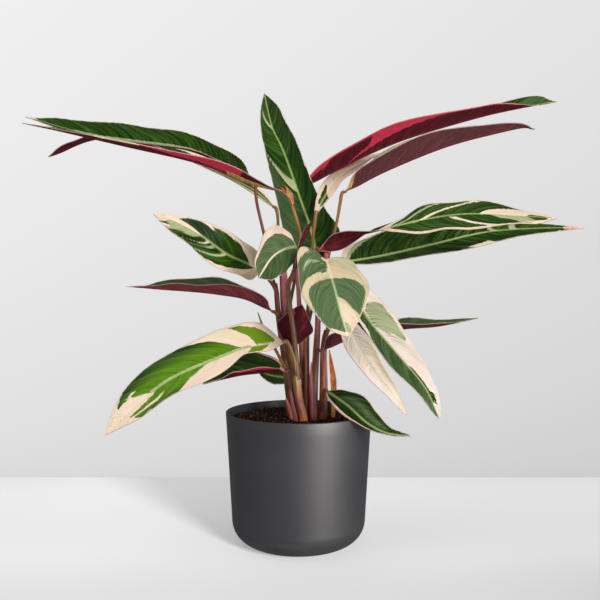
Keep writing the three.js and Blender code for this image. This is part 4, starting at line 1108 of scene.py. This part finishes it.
print("shoots:", len(SHOOTS), "stalks:", sum(len(shoot["stalks"]) for shoot in SHOOTS.values()))

# %% [markdown]
# ## Tones of the stalks
# On the real plant a sheath is tan at its foot and turns olive, rose or brown higher up, and each stalk
# has its own red. So every line of a shoot has its tones from the bottom to the top, and the shoot has one
# more tone for its veins.

# %% Stalk tones
TAN, OLIVE, BROWN = srgb(188, 116, 62), srgb(120, 88, 36), srgb(112, 62, 34)
ROSE, MAUVE, GOLD = srgb(168, 84, 80), srgb(130, 58, 68), srgb(170, 124, 54)
RUSSET, GREY_BROWN, STRAW = srgb(126, 60, 44), srgb(122, 86, 54), srgb(188, 174, 84)
ROSE_PINK, PAINTED_GLOSS_PEACH = srgb(224, 116, 134), srgb(216, 152, 128)
STEM_TONES = {
    "stem_left": dict(
        veined=BROWN, sheath=[TAN, OLIVE, OLIVE, BROWN], clasps=[[TAN, GOLD, TAN], [TAN, TAN, STRAW]],
        leaf_upper_left_front=[RUSSET], leaf_left_narrow=[OLIVE, GOLD], leaf_left_broad=[ROSE, MAUVE]),
    "stem_back": dict(
        veined=OLIVE, sheath=[BROWN, OLIVE, BROWN], clasps=[[OLIVE, ROSE, ROSE_PINK, ROSE_PINK]],
        leaf_upper_left_back=[OLIVE, GOLD], leaf_upper_left_long=[BROWN, GOLD, GOLD],
        leaf_left_hidden=[BROWN]),
    "stem_front": dict(
        veined=GREY_BROWN, sheath=[TAN, TAN, ROSE, STRAW], clasps=[],
        leaf_left_large=[STRAW, STRAW, ROSE], leaf_young_rolled=[GREY_BROWN]),
    "stem_low": dict(
        veined=ROSE, sheath=[TAN, MAUVE, MAUVE, BROWN], clasps=[[TAN, BROWN, TAN]],
        leaf_left_low=[BROWN, RUSSET]),
    "stem_centre": dict(
        veined=OLIVE, sheath=[TAN, MAUVE, BROWN, ROSE],
        clasps=[[ROSE, ROSE_PINK, ROSE_PINK], [MAUVE, MAUVE, ROSE]],
        leaf_top_upright=[OLIVE], leaf_upper_right_high=[BROWN, GOLD], leaf_cream_back=[OLIVE, GOLD],
        leaf_maroon_inner=[MAUVE]),
    "stem_inner_right": dict(
        veined=MAUVE, sheath=[TAN, ROSE, OLIVE, OLIVE], clasps=[[ROSE, ROSE_PINK, ROSE_PINK]],
        leaf_upper_right_low=[OLIVE, GOLD], leaf_right_twisted=[MAUVE, BROWN], leaf_right_long=[OLIVE],
        leaf_centre_front=[ROSE], leaf_right_low=[MAUVE]),
    "stem_right": dict(
        veined=TAN, sheath=[TAN, ROSE, MAUVE, BROWN], clasps=[],
        leaf_drooping_large=[BROWN], leaf_drooping_cream=[GOLD, ROSE], leaf_over_rim=[ROSE]),
}
print("shoots with tones:", len(STEM_TONES))

# %% [markdown]
# ## Paths of a shoot
# The sheath goes straight down into the compost and narrows at its top. A stalk leaves it low inside, and
# ends a little way into its blade, in line with the midrib, so that no gap shows.


# %% Paths
PATH_STEP = 1.6
SHEATH_MOUTH, SHEATH_END = 9.0, 0.62  # mm over which the sheath narrows, and to what share
CLASP = 0.16  # how far a sheath's section opens into an overlap, as a share of its radius
NECK = 1.0  # radius where a stalk ends inside its blade


def path_of(points, radii, tones, wrap, mouth=0.0):
    length = curve_length(points)
    u = np.linspace(0, 1, round(length / PATH_STEP) + 1)
    radius = along(radii, u)
    if mouth:
        radius = radius * np.interp((1 - u) * length, [0, mouth], [SHEATH_END, 1])
    return dict(points=curve_at(points, u), radius=radius, tone=along(tones, u), run=u * length,
                wrap=np.full(u.shape, float(wrap)))


def knee_of(blade):
    seat = blade.get("roll", blade["rib"])
    forward = direction_at(seat, np.array([0.0]))[0]
    return [np.array(seat[0]) - back * forward for back in (KNEE, BLADE_GAP, -KNEE_INTO_BLADE)]


def shoot_paths(name):
    shoot, tones = SHOOTS[name], STEM_TONES[name]
    foot = [(*shoot["root"], SOIL_TOP - ROOT_DEPTH), (*shoot["root"], SOIL_TOP)]
    paths = [path_of([*foot, *shoot["sheath"]], shoot["radii"], tones["sheath"], CLASP, SHEATH_MOUTH)]
    for clasp, tone in zip(shoot["clasps"], tones["clasps"]):
        paths.append(path_of(clasp["path"], clasp["radii"], tone, CLASP))
    for leaf, points in shoot["stalks"].items():
        line = [*points, *knee_of(BLADES[leaf])]
        stout = shoot.get("stout", {}).get(leaf, 1)
        paths.append(path_of(line, [stout * radius for radius in (*STALK_RADII, NECK)], tones[leaf], 0))
    return paths


def lines_piece(name, paths, veined):
    edges, start = [], 0
    for path in paths:
        count = len(path["points"])
        edges += [(start + k, start + k + 1) for k in range(count - 1)]
        start += count
    stacked = {key: np.concatenate([path[key] for path in paths]) for key in paths[0]}
    second = np.tile(np.array(veined), (start, 1))
    return new_piece(name, stacked["points"] * MM, [], edges, radius=stacked["radius"] * MM,
                     tone=stacked["tone"], run=stacked["run"], wrap=stacked["wrap"], second=second)


# %% [markdown]
# ## Skin of the stalks
# The stalks are smooth but finely ribbed lengthwise. Their colour runs in long streaks of two tones, with
# maroon lines between them and peach lines that are painted highlights, for the gloss on the ribs. The
# section's own direction and the distance along the path place the streaks, so they bend with the stalk,
# which a pattern in space wouldn't do.


# %% Stalk skin
def stalk_skin():
    g = Finish("stalk_skin", IOR=1.45, Specular_IOR_Level=0.28)
    run, around = g.read("run"), g.add("ShaderNodeAttribute", {"attribute_name": "around"}, output=1)
    lengthwise = g.point(0.0, 0.0, run * 0.03)
    streak = g.noise(around * 1.1 + lengthwise, scale=1.6, detail=3.0, roughness=0.6)
    rib = g.noise(around * 3.2 + lengthwise * 0.6, scale=2.2, detail=1.0)
    fleck = g.noise(around * 3.0 + g.point(0.0, 0.0, run * 0.5), scale=1.5, detail=2.0)
    colour = g.mix(streak.ease(0.44, 0.6) * 0.85, g.read_colour("tone"), g.read_colour("second"))
    colour = g.mix(rib.ease(0.5, 0.64) * 0.45, colour, MAROON)
    # Painted highlights: peach lines where the ribs catch the light.
    colour = g.mix(rib.ease(0.46, 0.32) * 0.4, colour, PAINTED_GLOSS_PEACH)
    colour = g.mix(fleck.ease(0.58, 0.74) * 0.3, colour, TAN)
    roughness = 0.4 + rib * 0.2
    return g.finish(colour, roughness, rib * 0.7 + fleck * 0.3, 0.0004)


stalk_face = stalk_skin()

# %% [markdown]
# ## The tree that sweeps the stalks
# A circle is swept along the lines and takes its size from the stored radius. Then each point moves a
# little outwards from the stored centre: by a share that grows once around the section, which makes the
# step of a clasping sheath, and by a few small waves, which make the flutes of a stalk.


# %% Stalk tree
SECTION_POINTS = 18
FLUTES, FLUTE_DEPTH = 5, 0.018  # depth as a share of the radius


def stalk_tree():
    g = Shape("stalks", ["Section points"], ["Stalk finish"])
    place = g.add("GeometryNodeInputPosition")
    line = g.stored(g.add("GeometryNodeMeshToCurve", inputs={"Mesh": g.given}), "centre", place)
    circle = g.add("GeometryNodeCurvePrimitiveCircle",
                   inputs={"Resolution": g.size("Section points"), "Radius": 1.0})
    circle = g.stored(circle, "around", place)
    circle = g.stored(circle, "turn", g.add("GeometryNodeSplineParameter"), "FLOAT")
    tube = g.add("GeometryNodeCurveToMesh", inputs={
        "Curve": line, "Profile Curve": circle, "Scale": g.field("radius"), "Fill Caps": True})
    outward = place - g.field("centre", "FLOAT_VECTOR")
    clasp = g.field("wrap") * (g.field("turn") - 0.5)
    fluted = (g.field("turn") * (2 * math.pi * FLUTES)).sin() * FLUTE_DEPTH
    return g.end(g.moved(tube, outward * (clasp + fluted)), "Stalk finish")


stalk_shape = stalk_tree()
stems = {}
for name in SHOOTS:
    piece = lines_piece(name.replace("stem_", "stalks_"), shoot_paths(name), STEM_TONES[name]["veined"])
    stems[name] = shaped(piece, stalk_shape, **{"Section points": SECTION_POINTS, "Stalk finish": stalk_face})
print("stalk faces:", sum(len(p.data.polygons) for p in stems.values()))

# %% [markdown]
# ## The pot
# A plain moulded cover pot. It is round, so it is drawn once as a profile of radius and height and turned
# about the middle. Blender's own spin could do that, but it leaves its faces in a new order at each run,
# and the crumbs of the compost are drawn by lot face by face. So the rings are laid here in a fixed order.
# The rim is softly rounded and the foot has a large round.


# %% Turned pieces
POT = dict(height=125, rim=70, foot=64, foot_round=22, wall=2.2, floor=3, lip=0.8)  # mm
TURN_STEPS = 168
WALL_POINTS, FOOT_STEPS, LIP_STEPS, FLOOR_STEPS = 9, 16, 4, 12  # along the profile
SHARP_ANGLE = 40  # degrees from which an edge stays crisp


def quarter(centre, radius, start, stop, steps):
    """Points of an arc in the plane of a profile, in degrees from straight outward."""
    angles = np.radians(np.linspace(start, stop, steps + 1))
    return [(centre[0] + radius * math.cos(a), centre[1] + radius * math.sin(a)) for a in angles]


def turned(name, profile, steps=TURN_STEPS):
    """Turns a profile of (radius, height) points, in millimetres, that begins and ends on the axis.

    On its way the profile keeps the material on its left, so that the faces point outwards."""
    radius, height = np.array(profile[1:-1], float).T[:, :, None]
    angle = 2 * np.pi * np.arange(steps) / steps
    rings = np.stack([radius * np.cos(angle), radius * np.sin(angle), height + 0 * angle], axis=2)
    points = np.concatenate([rings.reshape(-1, 3), [(0, 0, profile[0][1]), (0, 0, profile[-1][1])]])
    start, end = len(points) - 2, len(points) - 1
    ring, after = np.arange(steps), (np.arange(steps) + 1) % steps
    last_ring = (len(rings) - 1) * steps
    faces = [(start, b, a) for a, b in zip(ring, after)]
    for low in range(0, last_ring, steps):
        faces += [(low + a, low + b, low + steps + b, low + steps + a) for a, b in zip(ring, after)]
    faces += [(last_ring + a, last_ring + b, end) for a, b in zip(ring, after)]
    piece = new_piece(name, points * MM, faces)
    piece.data.shade_smooth()
    piece.data.set_sharp_from_angle(angle=math.radians(SHARP_ANGLE))
    print(name, "faces:", len(piece.data.polygons))
    return piece


def wall_radius(z):
    """The wall leans outwards in a straight line from the foot's round to the rim."""
    climbed = (z - POT["foot_round"]) / (POT["height"] - POT["foot_round"])
    return POT["foot"] + (POT["rim"] - POT["foot"]) * climbed


def pot_profile():
    foot, lip, wall = POT["foot_round"], POT["lip"], POT["wall"]
    inner_round = foot - POT["floor"]
    top = POT["height"] - lip
    heights = np.linspace(foot, top, WALL_POINTS)[1:-1]
    outside = [(wall_radius(z), z) for z in heights]
    inside = [(wall_radius(z) - wall, z) for z in heights[::-1]]
    return [(0, 0), *quarter((POT["foot"] - foot, foot), foot, -90, 0, FOOT_STEPS), *outside,
            *quarter((POT["rim"] - lip, top), lip, 0, 90, LIP_STEPS),
            *quarter((POT["rim"] - wall + lip, top), lip, 90, 180, LIP_STEPS), *inside,
            *quarter((POT["foot"] - wall - inner_round, foot), inner_round, 0, -90, FLOOR_STEPS),
            (0, POT["floor"])]


pot = turned("grey_pot", pot_profile())

# %% [markdown]
# ## Satin plastic
# The pot is dark grey with a satin skin. Close up it has a very fine moulded grain, a few soft clouds where
# the grain is finer, and a little dust that gathers low on the wall. The patterns are in space, because
# the skin has no direction of its own.


# %% Pot finish
POT_GREY, POT_GREY_WORN, POT_DUST = srgb(53, 52, 57), srgb(59, 58, 61), srgb(96, 92, 88)


def satin_grey():
    g = Finish("satin_grey_plastic", IOR=1.5, Specular_IOR_Level=0.5)
    place = g.place()
    height = g.parts(place)[2]
    grain = g.noise(place, scale=2600.0, detail=1.0)
    cloud = g.noise(place, scale=22.0, detail=3.0)
    wiped = g.noise(place + g.point(0.0, 0.0, height * 6.0), scale=40.0, detail=2.0)
    colour = g.mix(cloud.ease(0.35, 0.7) * 0.5, POT_GREY, POT_GREY_WORN)
    colour = g.mix(grain.ease(0.55, 0.75) * 0.25, colour, POT_DUST)
    low_dust = height.ease(0.03, 0.0) * wiped.ease(0.4, 0.7) * 0.25
    colour = g.mix(low_dust, colour, POT_DUST)
    roughness = 0.42 + cloud * 0.08 + grain * 0.06 + low_dust * 0.3
    return g.finish(colour, roughness, grain * 0.6 + cloud * 0.4, 0.00006)


pot.data.materials.append(satin_grey())

# %% [markdown]
# ## The compost
# Dark potting compost: a lumpy surface under a layer of crumbs and bits of fibre. The body is turned like
# the pot and its top is raised in code. The crumbs are scattered on the top by a tree, because there are
# thousands of them and each has only a few faces.


# %% Compost body
SOIL_GAP = 0.3  # mm between the compost and the pot
RELIEF, FINE_RELIEF = 1.1, 0.5  # mm
SOIL_RINGS, SOIL_STEPS, SOIL_ROUND_STEPS = 34, 96, 6
FLAT_RIM = 1  # mm along the wall that stay level
SHOULDER = (0.1, 3)  # mm inwards and down from the top's edge, where the side begins
edge_radius = wall_radius(SOIL_TOP) - POT["wall"] - SOIL_GAP


def compost_profile():
    inner, bottom = POT["foot"] - POT["wall"] - SOIL_GAP, POT["floor"] + SOIL_GAP
    inner_round = POT["foot_round"] - bottom
    round_middle = (inner - inner_round, POT["foot_round"])
    return [(0, bottom), *quarter(round_middle, inner_round, -90, 0, SOIL_ROUND_STEPS),
            (edge_radius - SHOULDER[0], SOIL_TOP - SHOULDER[1]),
            *[(edge_radius * share, SOIL_TOP) for share in np.linspace(1, 0, SOIL_RINGS)]]


def lumps(x, y):
    """Slow waves that cross each other."""
    crossing = math.sin(0.31 * x + 0.9) * math.cos(0.27 * y)
    return RELIEF * (0.5 * crossing + 0.5 * math.sin(0.13 * x - 0.21 * y + 2))


compost = turned("compost", compost_profile(), steps=SOIL_STEPS)
on_top = []
for vertex in compost.data.vertices:
    x, y, z = (c / MM for c in vertex.co)
    top = z > SOIL_TOP - 0.01
    if top and math.hypot(x, y) < edge_radius - FLAT_RIM:
        rough = noise.fractal(Vector((x * 0.35, y * 0.35, 4.0)), 1.0, 2.0, 3)
        vertex.co.z += (lumps(x, y) + FINE_RELIEF * rough) * MM
    on_top.append(float(top))
compost.data.attributes.new("top", "FLOAT", "POINT").data.foreach_set("value", on_top)
print("compost points on top:", int(sum(on_top)))

# %% [markdown]
# ## Finish of the compost
# Damp compost is nearly black, and its crumbs run to brown. Each crumb carries a shade of its own, and the
# few with the highest shade are straw-coloured bits of bark.


# %% Compost finish
DARK_EARTH, BROWN_EARTH, WET_EARTH = srgb(20, 12, 10), srgb(56, 35, 25), srgb(18, 11, 9)
BARK = srgb(112, 76, 48)


def dark_compost():
    g = Finish("dark_compost", IOR=1.4, Specular_IOR_Level=0.25)
    place, shade = g.place(), g.read("shade")
    grit = g.noise(place, scale=900.0, detail=3.0, roughness=0.65)
    damp = g.noise(place, scale=60.0, detail=2.0)
    colour = g.mix((shade * 0.8 + grit * 0.3).ease(0.2, 0.9), DARK_EARTH, BROWN_EARTH)
    colour = g.mix((shade - 0.86).ease(0.0, 0.1), colour, BARK)
    colour = g.mix(damp.ease(0.5, 0.7) * 0.5, colour, WET_EARTH)
    return g.finish(colour, 0.78 + grit * 0.2, grit, 0.0006)


compost_face = dark_compost()

# %% [markdown]
# ## Crumbs and fibres
# The tree scatters points over the top, puts a crumb or a short bent fibre on each, and turns and sizes
# each one by its own random values, which come from fixed seeds. Real crumbs could be sculpted once and
# copied, but a small sphere that is stretched three ways is enough at this size.


# %% Compost tree
FIBRE_RADIUS, FIBRE_BEND = 0.00022, 60.0  # m, and sideways metres per square metre along the fibre
CRUMBS = dict(seed=3, smallest=(0.6, 0.5, 0.35), largest=(1.7, 1.3, 0.9), tilt=3.0)
FIBRES = dict(seed=11, smallest=(0.8, 0.8, 0.5), largest=(1.8, 1.8, 1.3), tilt=1.5)


def compost_tree():
    g = Shape("compost", ["Crumbs per area", "Crumb size", "Fibres per area", "Fibre length"],
              ["Compost finish"])
    top = g.field("top").sum("GREATER_THAN", 0.5)

    def scattered(grain, density, seed, smallest, largest, tilt):
        points = g.add("GeometryNodeDistributePointsOnFaces",
                       inputs={"Mesh": g.given, "Selection": top, "Density": density, "Seed": seed})
        spin = g.add("FunctionNodeRandomValue", {"data_type": "FLOAT_VECTOR"},
                     {0: (-tilt, -tilt, 0.0), 1: (tilt, tilt, 6.28), 8: seed + 1})
        size = g.add("FunctionNodeRandomValue", {"data_type": "FLOAT_VECTOR"},
                     {0: smallest, 1: largest, 8: seed + 2})
        shade = g.add("FunctionNodeRandomValue", {"data_type": "FLOAT"}, {2: 0.0, 3: 1.0, 8: seed + 3}, 1)
        return g.add("GeometryNodeInstanceOnPoints", inputs={
            "Points": g.stored(points, "shade", shade, "FLOAT"), "Instance": grain, "Rotation": spin,
            "Scale": size})

    crumb = g.add("GeometryNodeMeshIcoSphere", inputs={"Radius": g.size("Crumb size"), "Subdivisions": 1})
    fibre = g.add("GeometryNodeMeshCylinder", inputs={
        "Vertices": 5, "Side Segments": 3, "Radius": FIBRE_RADIUS, "Depth": g.size("Fibre length")})
    along_fibre = g.parts(g.add("GeometryNodeInputPosition"))[2]
    bow = g.point(along_fibre * along_fibre * FIBRE_BEND, 0.0, 0.0)
    crumbs = scattered(crumb, g.size("Crumbs per area"), **CRUMBS)
    fibres = scattered(g.moved(fibre, bow), g.size("Fibres per area"), **FIBRES)
    return g.end(g.joined(g.given, crumbs, fibres), "Compost finish")


shaped(compost, compost_tree(), **{
    "Crumbs per area": 230000.0, "Crumb size": 1.0 * MM, "Fibres per area": 22000.0, "Fibre length": 7 * MM,
    "Compost finish": compost_face})
print("compost faces:", len(compost.data.polygons))

# %% [markdown]
# ## The dried bract
# One old leaf has dried to a thin brown strip that still stands among the stalks. It is a small blade with
# no quilting, so the rule and the tree of the leaves make it. Its finish is papery: warm brown with darker
# lengthwise fibres and pale, worn edges.


# %% Dried bract
DRY_WIDTHS = [1.5, 2.4, 3.2, 2.4, 1.2]
DRY_BRACT = dict(rib=[(33, 6, 100), (34, 7, 130), (34, 9, 151), (32, 9, 168), (30, 8, 183)],
                 up=[(0.3, -1, 0)], left=DRY_WIDTHS, right=DRY_WIDTHS, folds=([35], [35]), wave=0)
DRY_BROWN, DRY_DARK, DRY_AMBER = srgb(186, 104, 40), srgb(116, 58, 24), srgb(212, 144, 70)
DRY_EDGE = srgb(222, 178, 116)
DRY_VEINS, DRY_MIDRIB, DRY_SEED = 9.0, 0.3, 3.0  # mm, mm and a seed of its own


def papery():
    g = Finish("dried_bract", IOR=1.4, Specular_IOR_Level=0.3)
    vein, across, edge = g.read("vein"), g.read("across"), g.read("edge")
    fibre = g.noise(g.point(vein * 0.05, across * 1.6, 2.0), detail=3.0, roughness=0.6)
    blotch = g.noise(g.point(vein * 0.12, across * 0.2, 6.0), detail=2.0)
    colour = g.mix(fibre.ease(0.4, 0.62), DRY_BROWN, DRY_DARK)
    colour = g.mix(blotch.ease(0.5, 0.7) * 0.7, colour, DRY_AMBER)
    colour = g.mix(edge.ease(0.6, 0.0) * 0.6, colour, DRY_EDGE)
    return g.finish(colour, 0.66 + fibre * 0.2, fibre + blotch * 0.3, 0.0005)


papery_face = papery()
bract = grid_piece("dried_bract", sheet(DRY_BRACT, [], DRY_SEED))
shaped(bract, blade_shape, **{
    "Thickness": BLADE_THICK * MM, "Vein spacing": DRY_VEINS, "Quilt": 0.0, "Midrib": DRY_MIDRIB * MM,
    "Upper finish": papery_face, "Under finish": papery_face})
print("bract faces:", len(bract.data.polygons))

# %% [markdown]
# ## Floor and wall
# The setting is a pale floor and a pale wall, which aren't part of the plant. A real studio lights them on
# their own, and a dozen more lamps could do that here. It is simpler to let both glow softly: the floor
# glows a little, so that the pot's shadow on it stays pale, and the wall only glows and takes no shadow.
# The wall is see-through from behind, so that the plant can be looked at from all sides, and neither is
# mirrored in the pot.


# %% Setting
WALL_Y, STAGE_HALF = 0.232, 2.5  # m
FLOOR_GREY, FLOOR_DRIFT = srgb(149, 149, 149), srgb(146, 146, 146)
FLOOR_GLOW = 0.372
WALL_GLOW, WALL_RISE, WALL_FALL = 0.65, 0.175, 0.125  # at the floor, up to 0.6 m, and from left to right


def floor_finish():
    g = Finish("pale_floor", Specular_IOR_Level=0.2, Emission_Strength=FLOOR_GLOW)
    place = g.place()
    speck = g.noise(place, scale=300.0, detail=2.0)
    drift = g.noise(place, scale=1.2, detail=1.0)
    sideways, depth, _ = g.parts(place)
    # Painted shade: lighter at the wall, darker in front, to the right and most of all at the front right;
    # the glow follows it too.
    shade = 1.0 + depth.ease(0.0, 0.2) * 0.1 - depth.ease(-0.03, -0.15) * 0.125
    shade = shade - sideways.ease(-0.3, 0.45) * 0.19
    shade = shade - sideways.ease(0.1, 0.3) * depth.ease(0.02, -0.1) * 0.07
    tint = g.mix(drift.ease(0.3, 0.7) * 0.3, FLOOR_GREY, FLOOR_DRIFT)
    tint = g.add("ShaderNodeVectorMath", {"operation": "SCALE"}, {"Vector": tint, "Scale": shade})
    g.tree.links.new(g.point(shade, shade, shade).socket, g.shader.inputs["Emission Color"])
    return g.finish(tint, 0.55 + speck * 0.05, speck, 0.00002, 0.3)


def wall_finish():
    g = Finish("pale_wall")
    across, _, height = g.parts(g.place())
    glow = (height.low(1.2) / 0.6) ** 0.55 * WALL_RISE + WALL_GLOW - across.low(0.6).high(-0.6) * WALL_FALL
    lit = g.add("ShaderNodeEmission", inputs={"Color": (1, 1, 1, 1), "Strength": glow})
    clear = g.add("ShaderNodeBsdfTransparent")
    from_behind = g.add("ShaderNodeNewGeometry", output=6)
    blend = g.add("ShaderNodeMixShader", inputs={0: from_behind, 1: lit, 2: clear})
    g.tree.links.new(blend.socket, g.out.inputs["Surface"])
    g.tree.nodes.remove(g.shader)
    return g.material


def plane(name, corners, material):
    piece = new_piece(name, np.array(corners, float), np.array([[0, 1, 2, 3]]))
    piece.data.materials.append(material)
    piece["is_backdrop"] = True
    return piece


S = STAGE_HALF
floor = plane("floor", [(-S, -S, 0), (S, -S, 0), (S, S, 0), (-S, S, 0)], floor_finish())
wall = plane("wall", [(-S, WALL_Y, 0), (S, WALL_Y, 0), (S, WALL_Y, S), (-S, WALL_Y, S)], wall_finish())
floor.visible_glossy = wall.visible_glossy = False
print("stage: floor and wall at", WALL_Y, "m")

# %% [markdown]
# ## Lights
# The plant is lit by a tall soft lamp at the front right, by two weak ones that fill in from the left and
# the front, and by a large one above. They light it without being mirrored, apart from the one above. The
# satin sheen of the pot comes from a long strip at its own height, which is only mirrored and lights
# nothing else. One more lamp falls on the floor alone and throws the shadow of the pot there, because one
# lamp for both would make either the plant too bright or the floor too dark.


# %% Lights
MIDDLE, POT_MIDDLE = (0, 0, 0.24), (0, 0, 0.06)
WARM_WHITE = (1.0, 0.95, 0.91)


def soft_light(name, place, target, size, power, mirrored=True, diffuse=True):
    data = bpy.data.lights.new(name, "AREA")
    data.shape, data.size, data.size_y = "RECTANGLE", size[0], size[1]
    data.energy = power
    lamp = bpy.data.objects.new(name, data)
    lamp.location = place
    lamp.rotation_euler = (Vector(target) - Vector(place)).to_track_quat("-Z", "Y").to_euler()
    lamp.visible_glossy, lamp.visible_diffuse = mirrored, diffuse
    bpy.context.collection.objects.link(lamp)
    return lamp


# In each line: name, place in m, what it points at, size in m, power in W.
soft_light("key_light", (1.06, -1.62, 0.8), MIDDLE, (0.35, 0.8), 26, mirrored=False)
soft_light("fill_light", (-1.5, -0.9, 1.0), MIDDLE, (1.4, 1.4), 2.5, mirrored=False)
soft_light("front_light", (0.2, -1.9, 0.7), MIDDLE, (1.8, 1.0), 3.5, mirrored=False)
strip = soft_light("strip_light", (1.04, -1.22, 0.14), POT_MIDDLE, (0.95, 0.26), 52, diffuse=False)
strip.data.color = WARM_WHITE
floor_light = soft_light("floor_light", (0.95, -1.66, 0.72), (0, 0, 0), (0.42, 0.3), 95, mirrored=False)
floor_light.light_linking.receiver_collection = bpy.data.collections.new("lit_by_floor_light")
floor_light.light_linking.receiver_collection.objects.link(floor)
soft_light("top_light", (-0.5, -0.25, 1.6), (-0.15, 0.05, 0.1), (1.6, 1.3), 11)
print("lights: 6 soft lamps")

# %% [markdown]
# ## The surround
# Beyond the floor and the wall there is an even pale grey. What the eye sees of it and what it gives as
# light are set apart, so that the backdrop can be pale while its light stays weak and slightly cool.

# %% Surround
world = bpy.data.worlds.new("pale_surround")
bpy.context.scene.world = world
world.use_nodes = True
surround = Graph(world.node_tree)
seen = surround.add("ShaderNodeLightPath")
lit = surround.add("ShaderNodeBackground", inputs={"Color": (0.9, 0.95, 1.0, 1), "Strength": 0.16})
backdrop = surround.add("ShaderNodeBackground", inputs={"Color": (0.78, 0.78, 0.78, 1), "Strength": 1.0})
blend = surround.add("ShaderNodeMixShader", inputs={0: seen, 1: lit, 2: backdrop})
surround.tree.links.new(blend.socket, surround.tree.nodes.new("ShaderNodeOutputWorld").inputs["Surface"])
bpy.context.scene.view_settings.view_transform = "Standard"
print("surround:", len(world.node_tree.nodes), "nodes")

# %% [markdown]
# ## The camera
# It stands at the height of the middle of the plant, looks straight at it and tilts down a little. At this
# distance the pot's rim shows as a flat ellipse, and the front leaves look a little larger than the rest.

# %% Camera
CAMERA_PLACE = (0.00136, -0.7, 0.2422)  # m
FOCAL_LENGTH, SENSOR_WIDTH = 43.584, 36  # mm
CAMERA_DIP = 0.85  # degrees below level
lens = bpy.data.cameras.new("camera")
lens.lens, lens.sensor_width = FOCAL_LENGTH, SENSOR_WIDTH
camera = bpy.data.objects.new("camera", lens)
camera.location = CAMERA_PLACE
camera.rotation_euler = (math.radians(90 - CAMERA_DIP), 0, 0)
bpy.context.collection.objects.link(camera)
bpy.context.scene.camera = camera
print("camera at", CAMERA_PLACE)

# %% [markdown]
# ## What each piece stands for
# Every piece moves with the plant's one body and takes the place of the solid that it refines.

# %% Pieces and solids
for piece, node, slot in [(pot, "pot", "pot"), (compost, "soil", "soil"), (bract, "dry_sheath", "dry_sheath"),
                          *((piece, node, "stem") for node, piece in stems.items()),
                          *((piece, node, "leaf") for node, piece in blades.items())]:
    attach(piece, "root")
    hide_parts(node)

new_box = [list(corner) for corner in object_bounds()]
for axis, (a, b, c, d) in zip("xyz", zip(*cad_box, *new_box)):
    print(axis, "solids", round(a, 4), round(b, 4), "pieces", round(c, 4), round(d, 4))
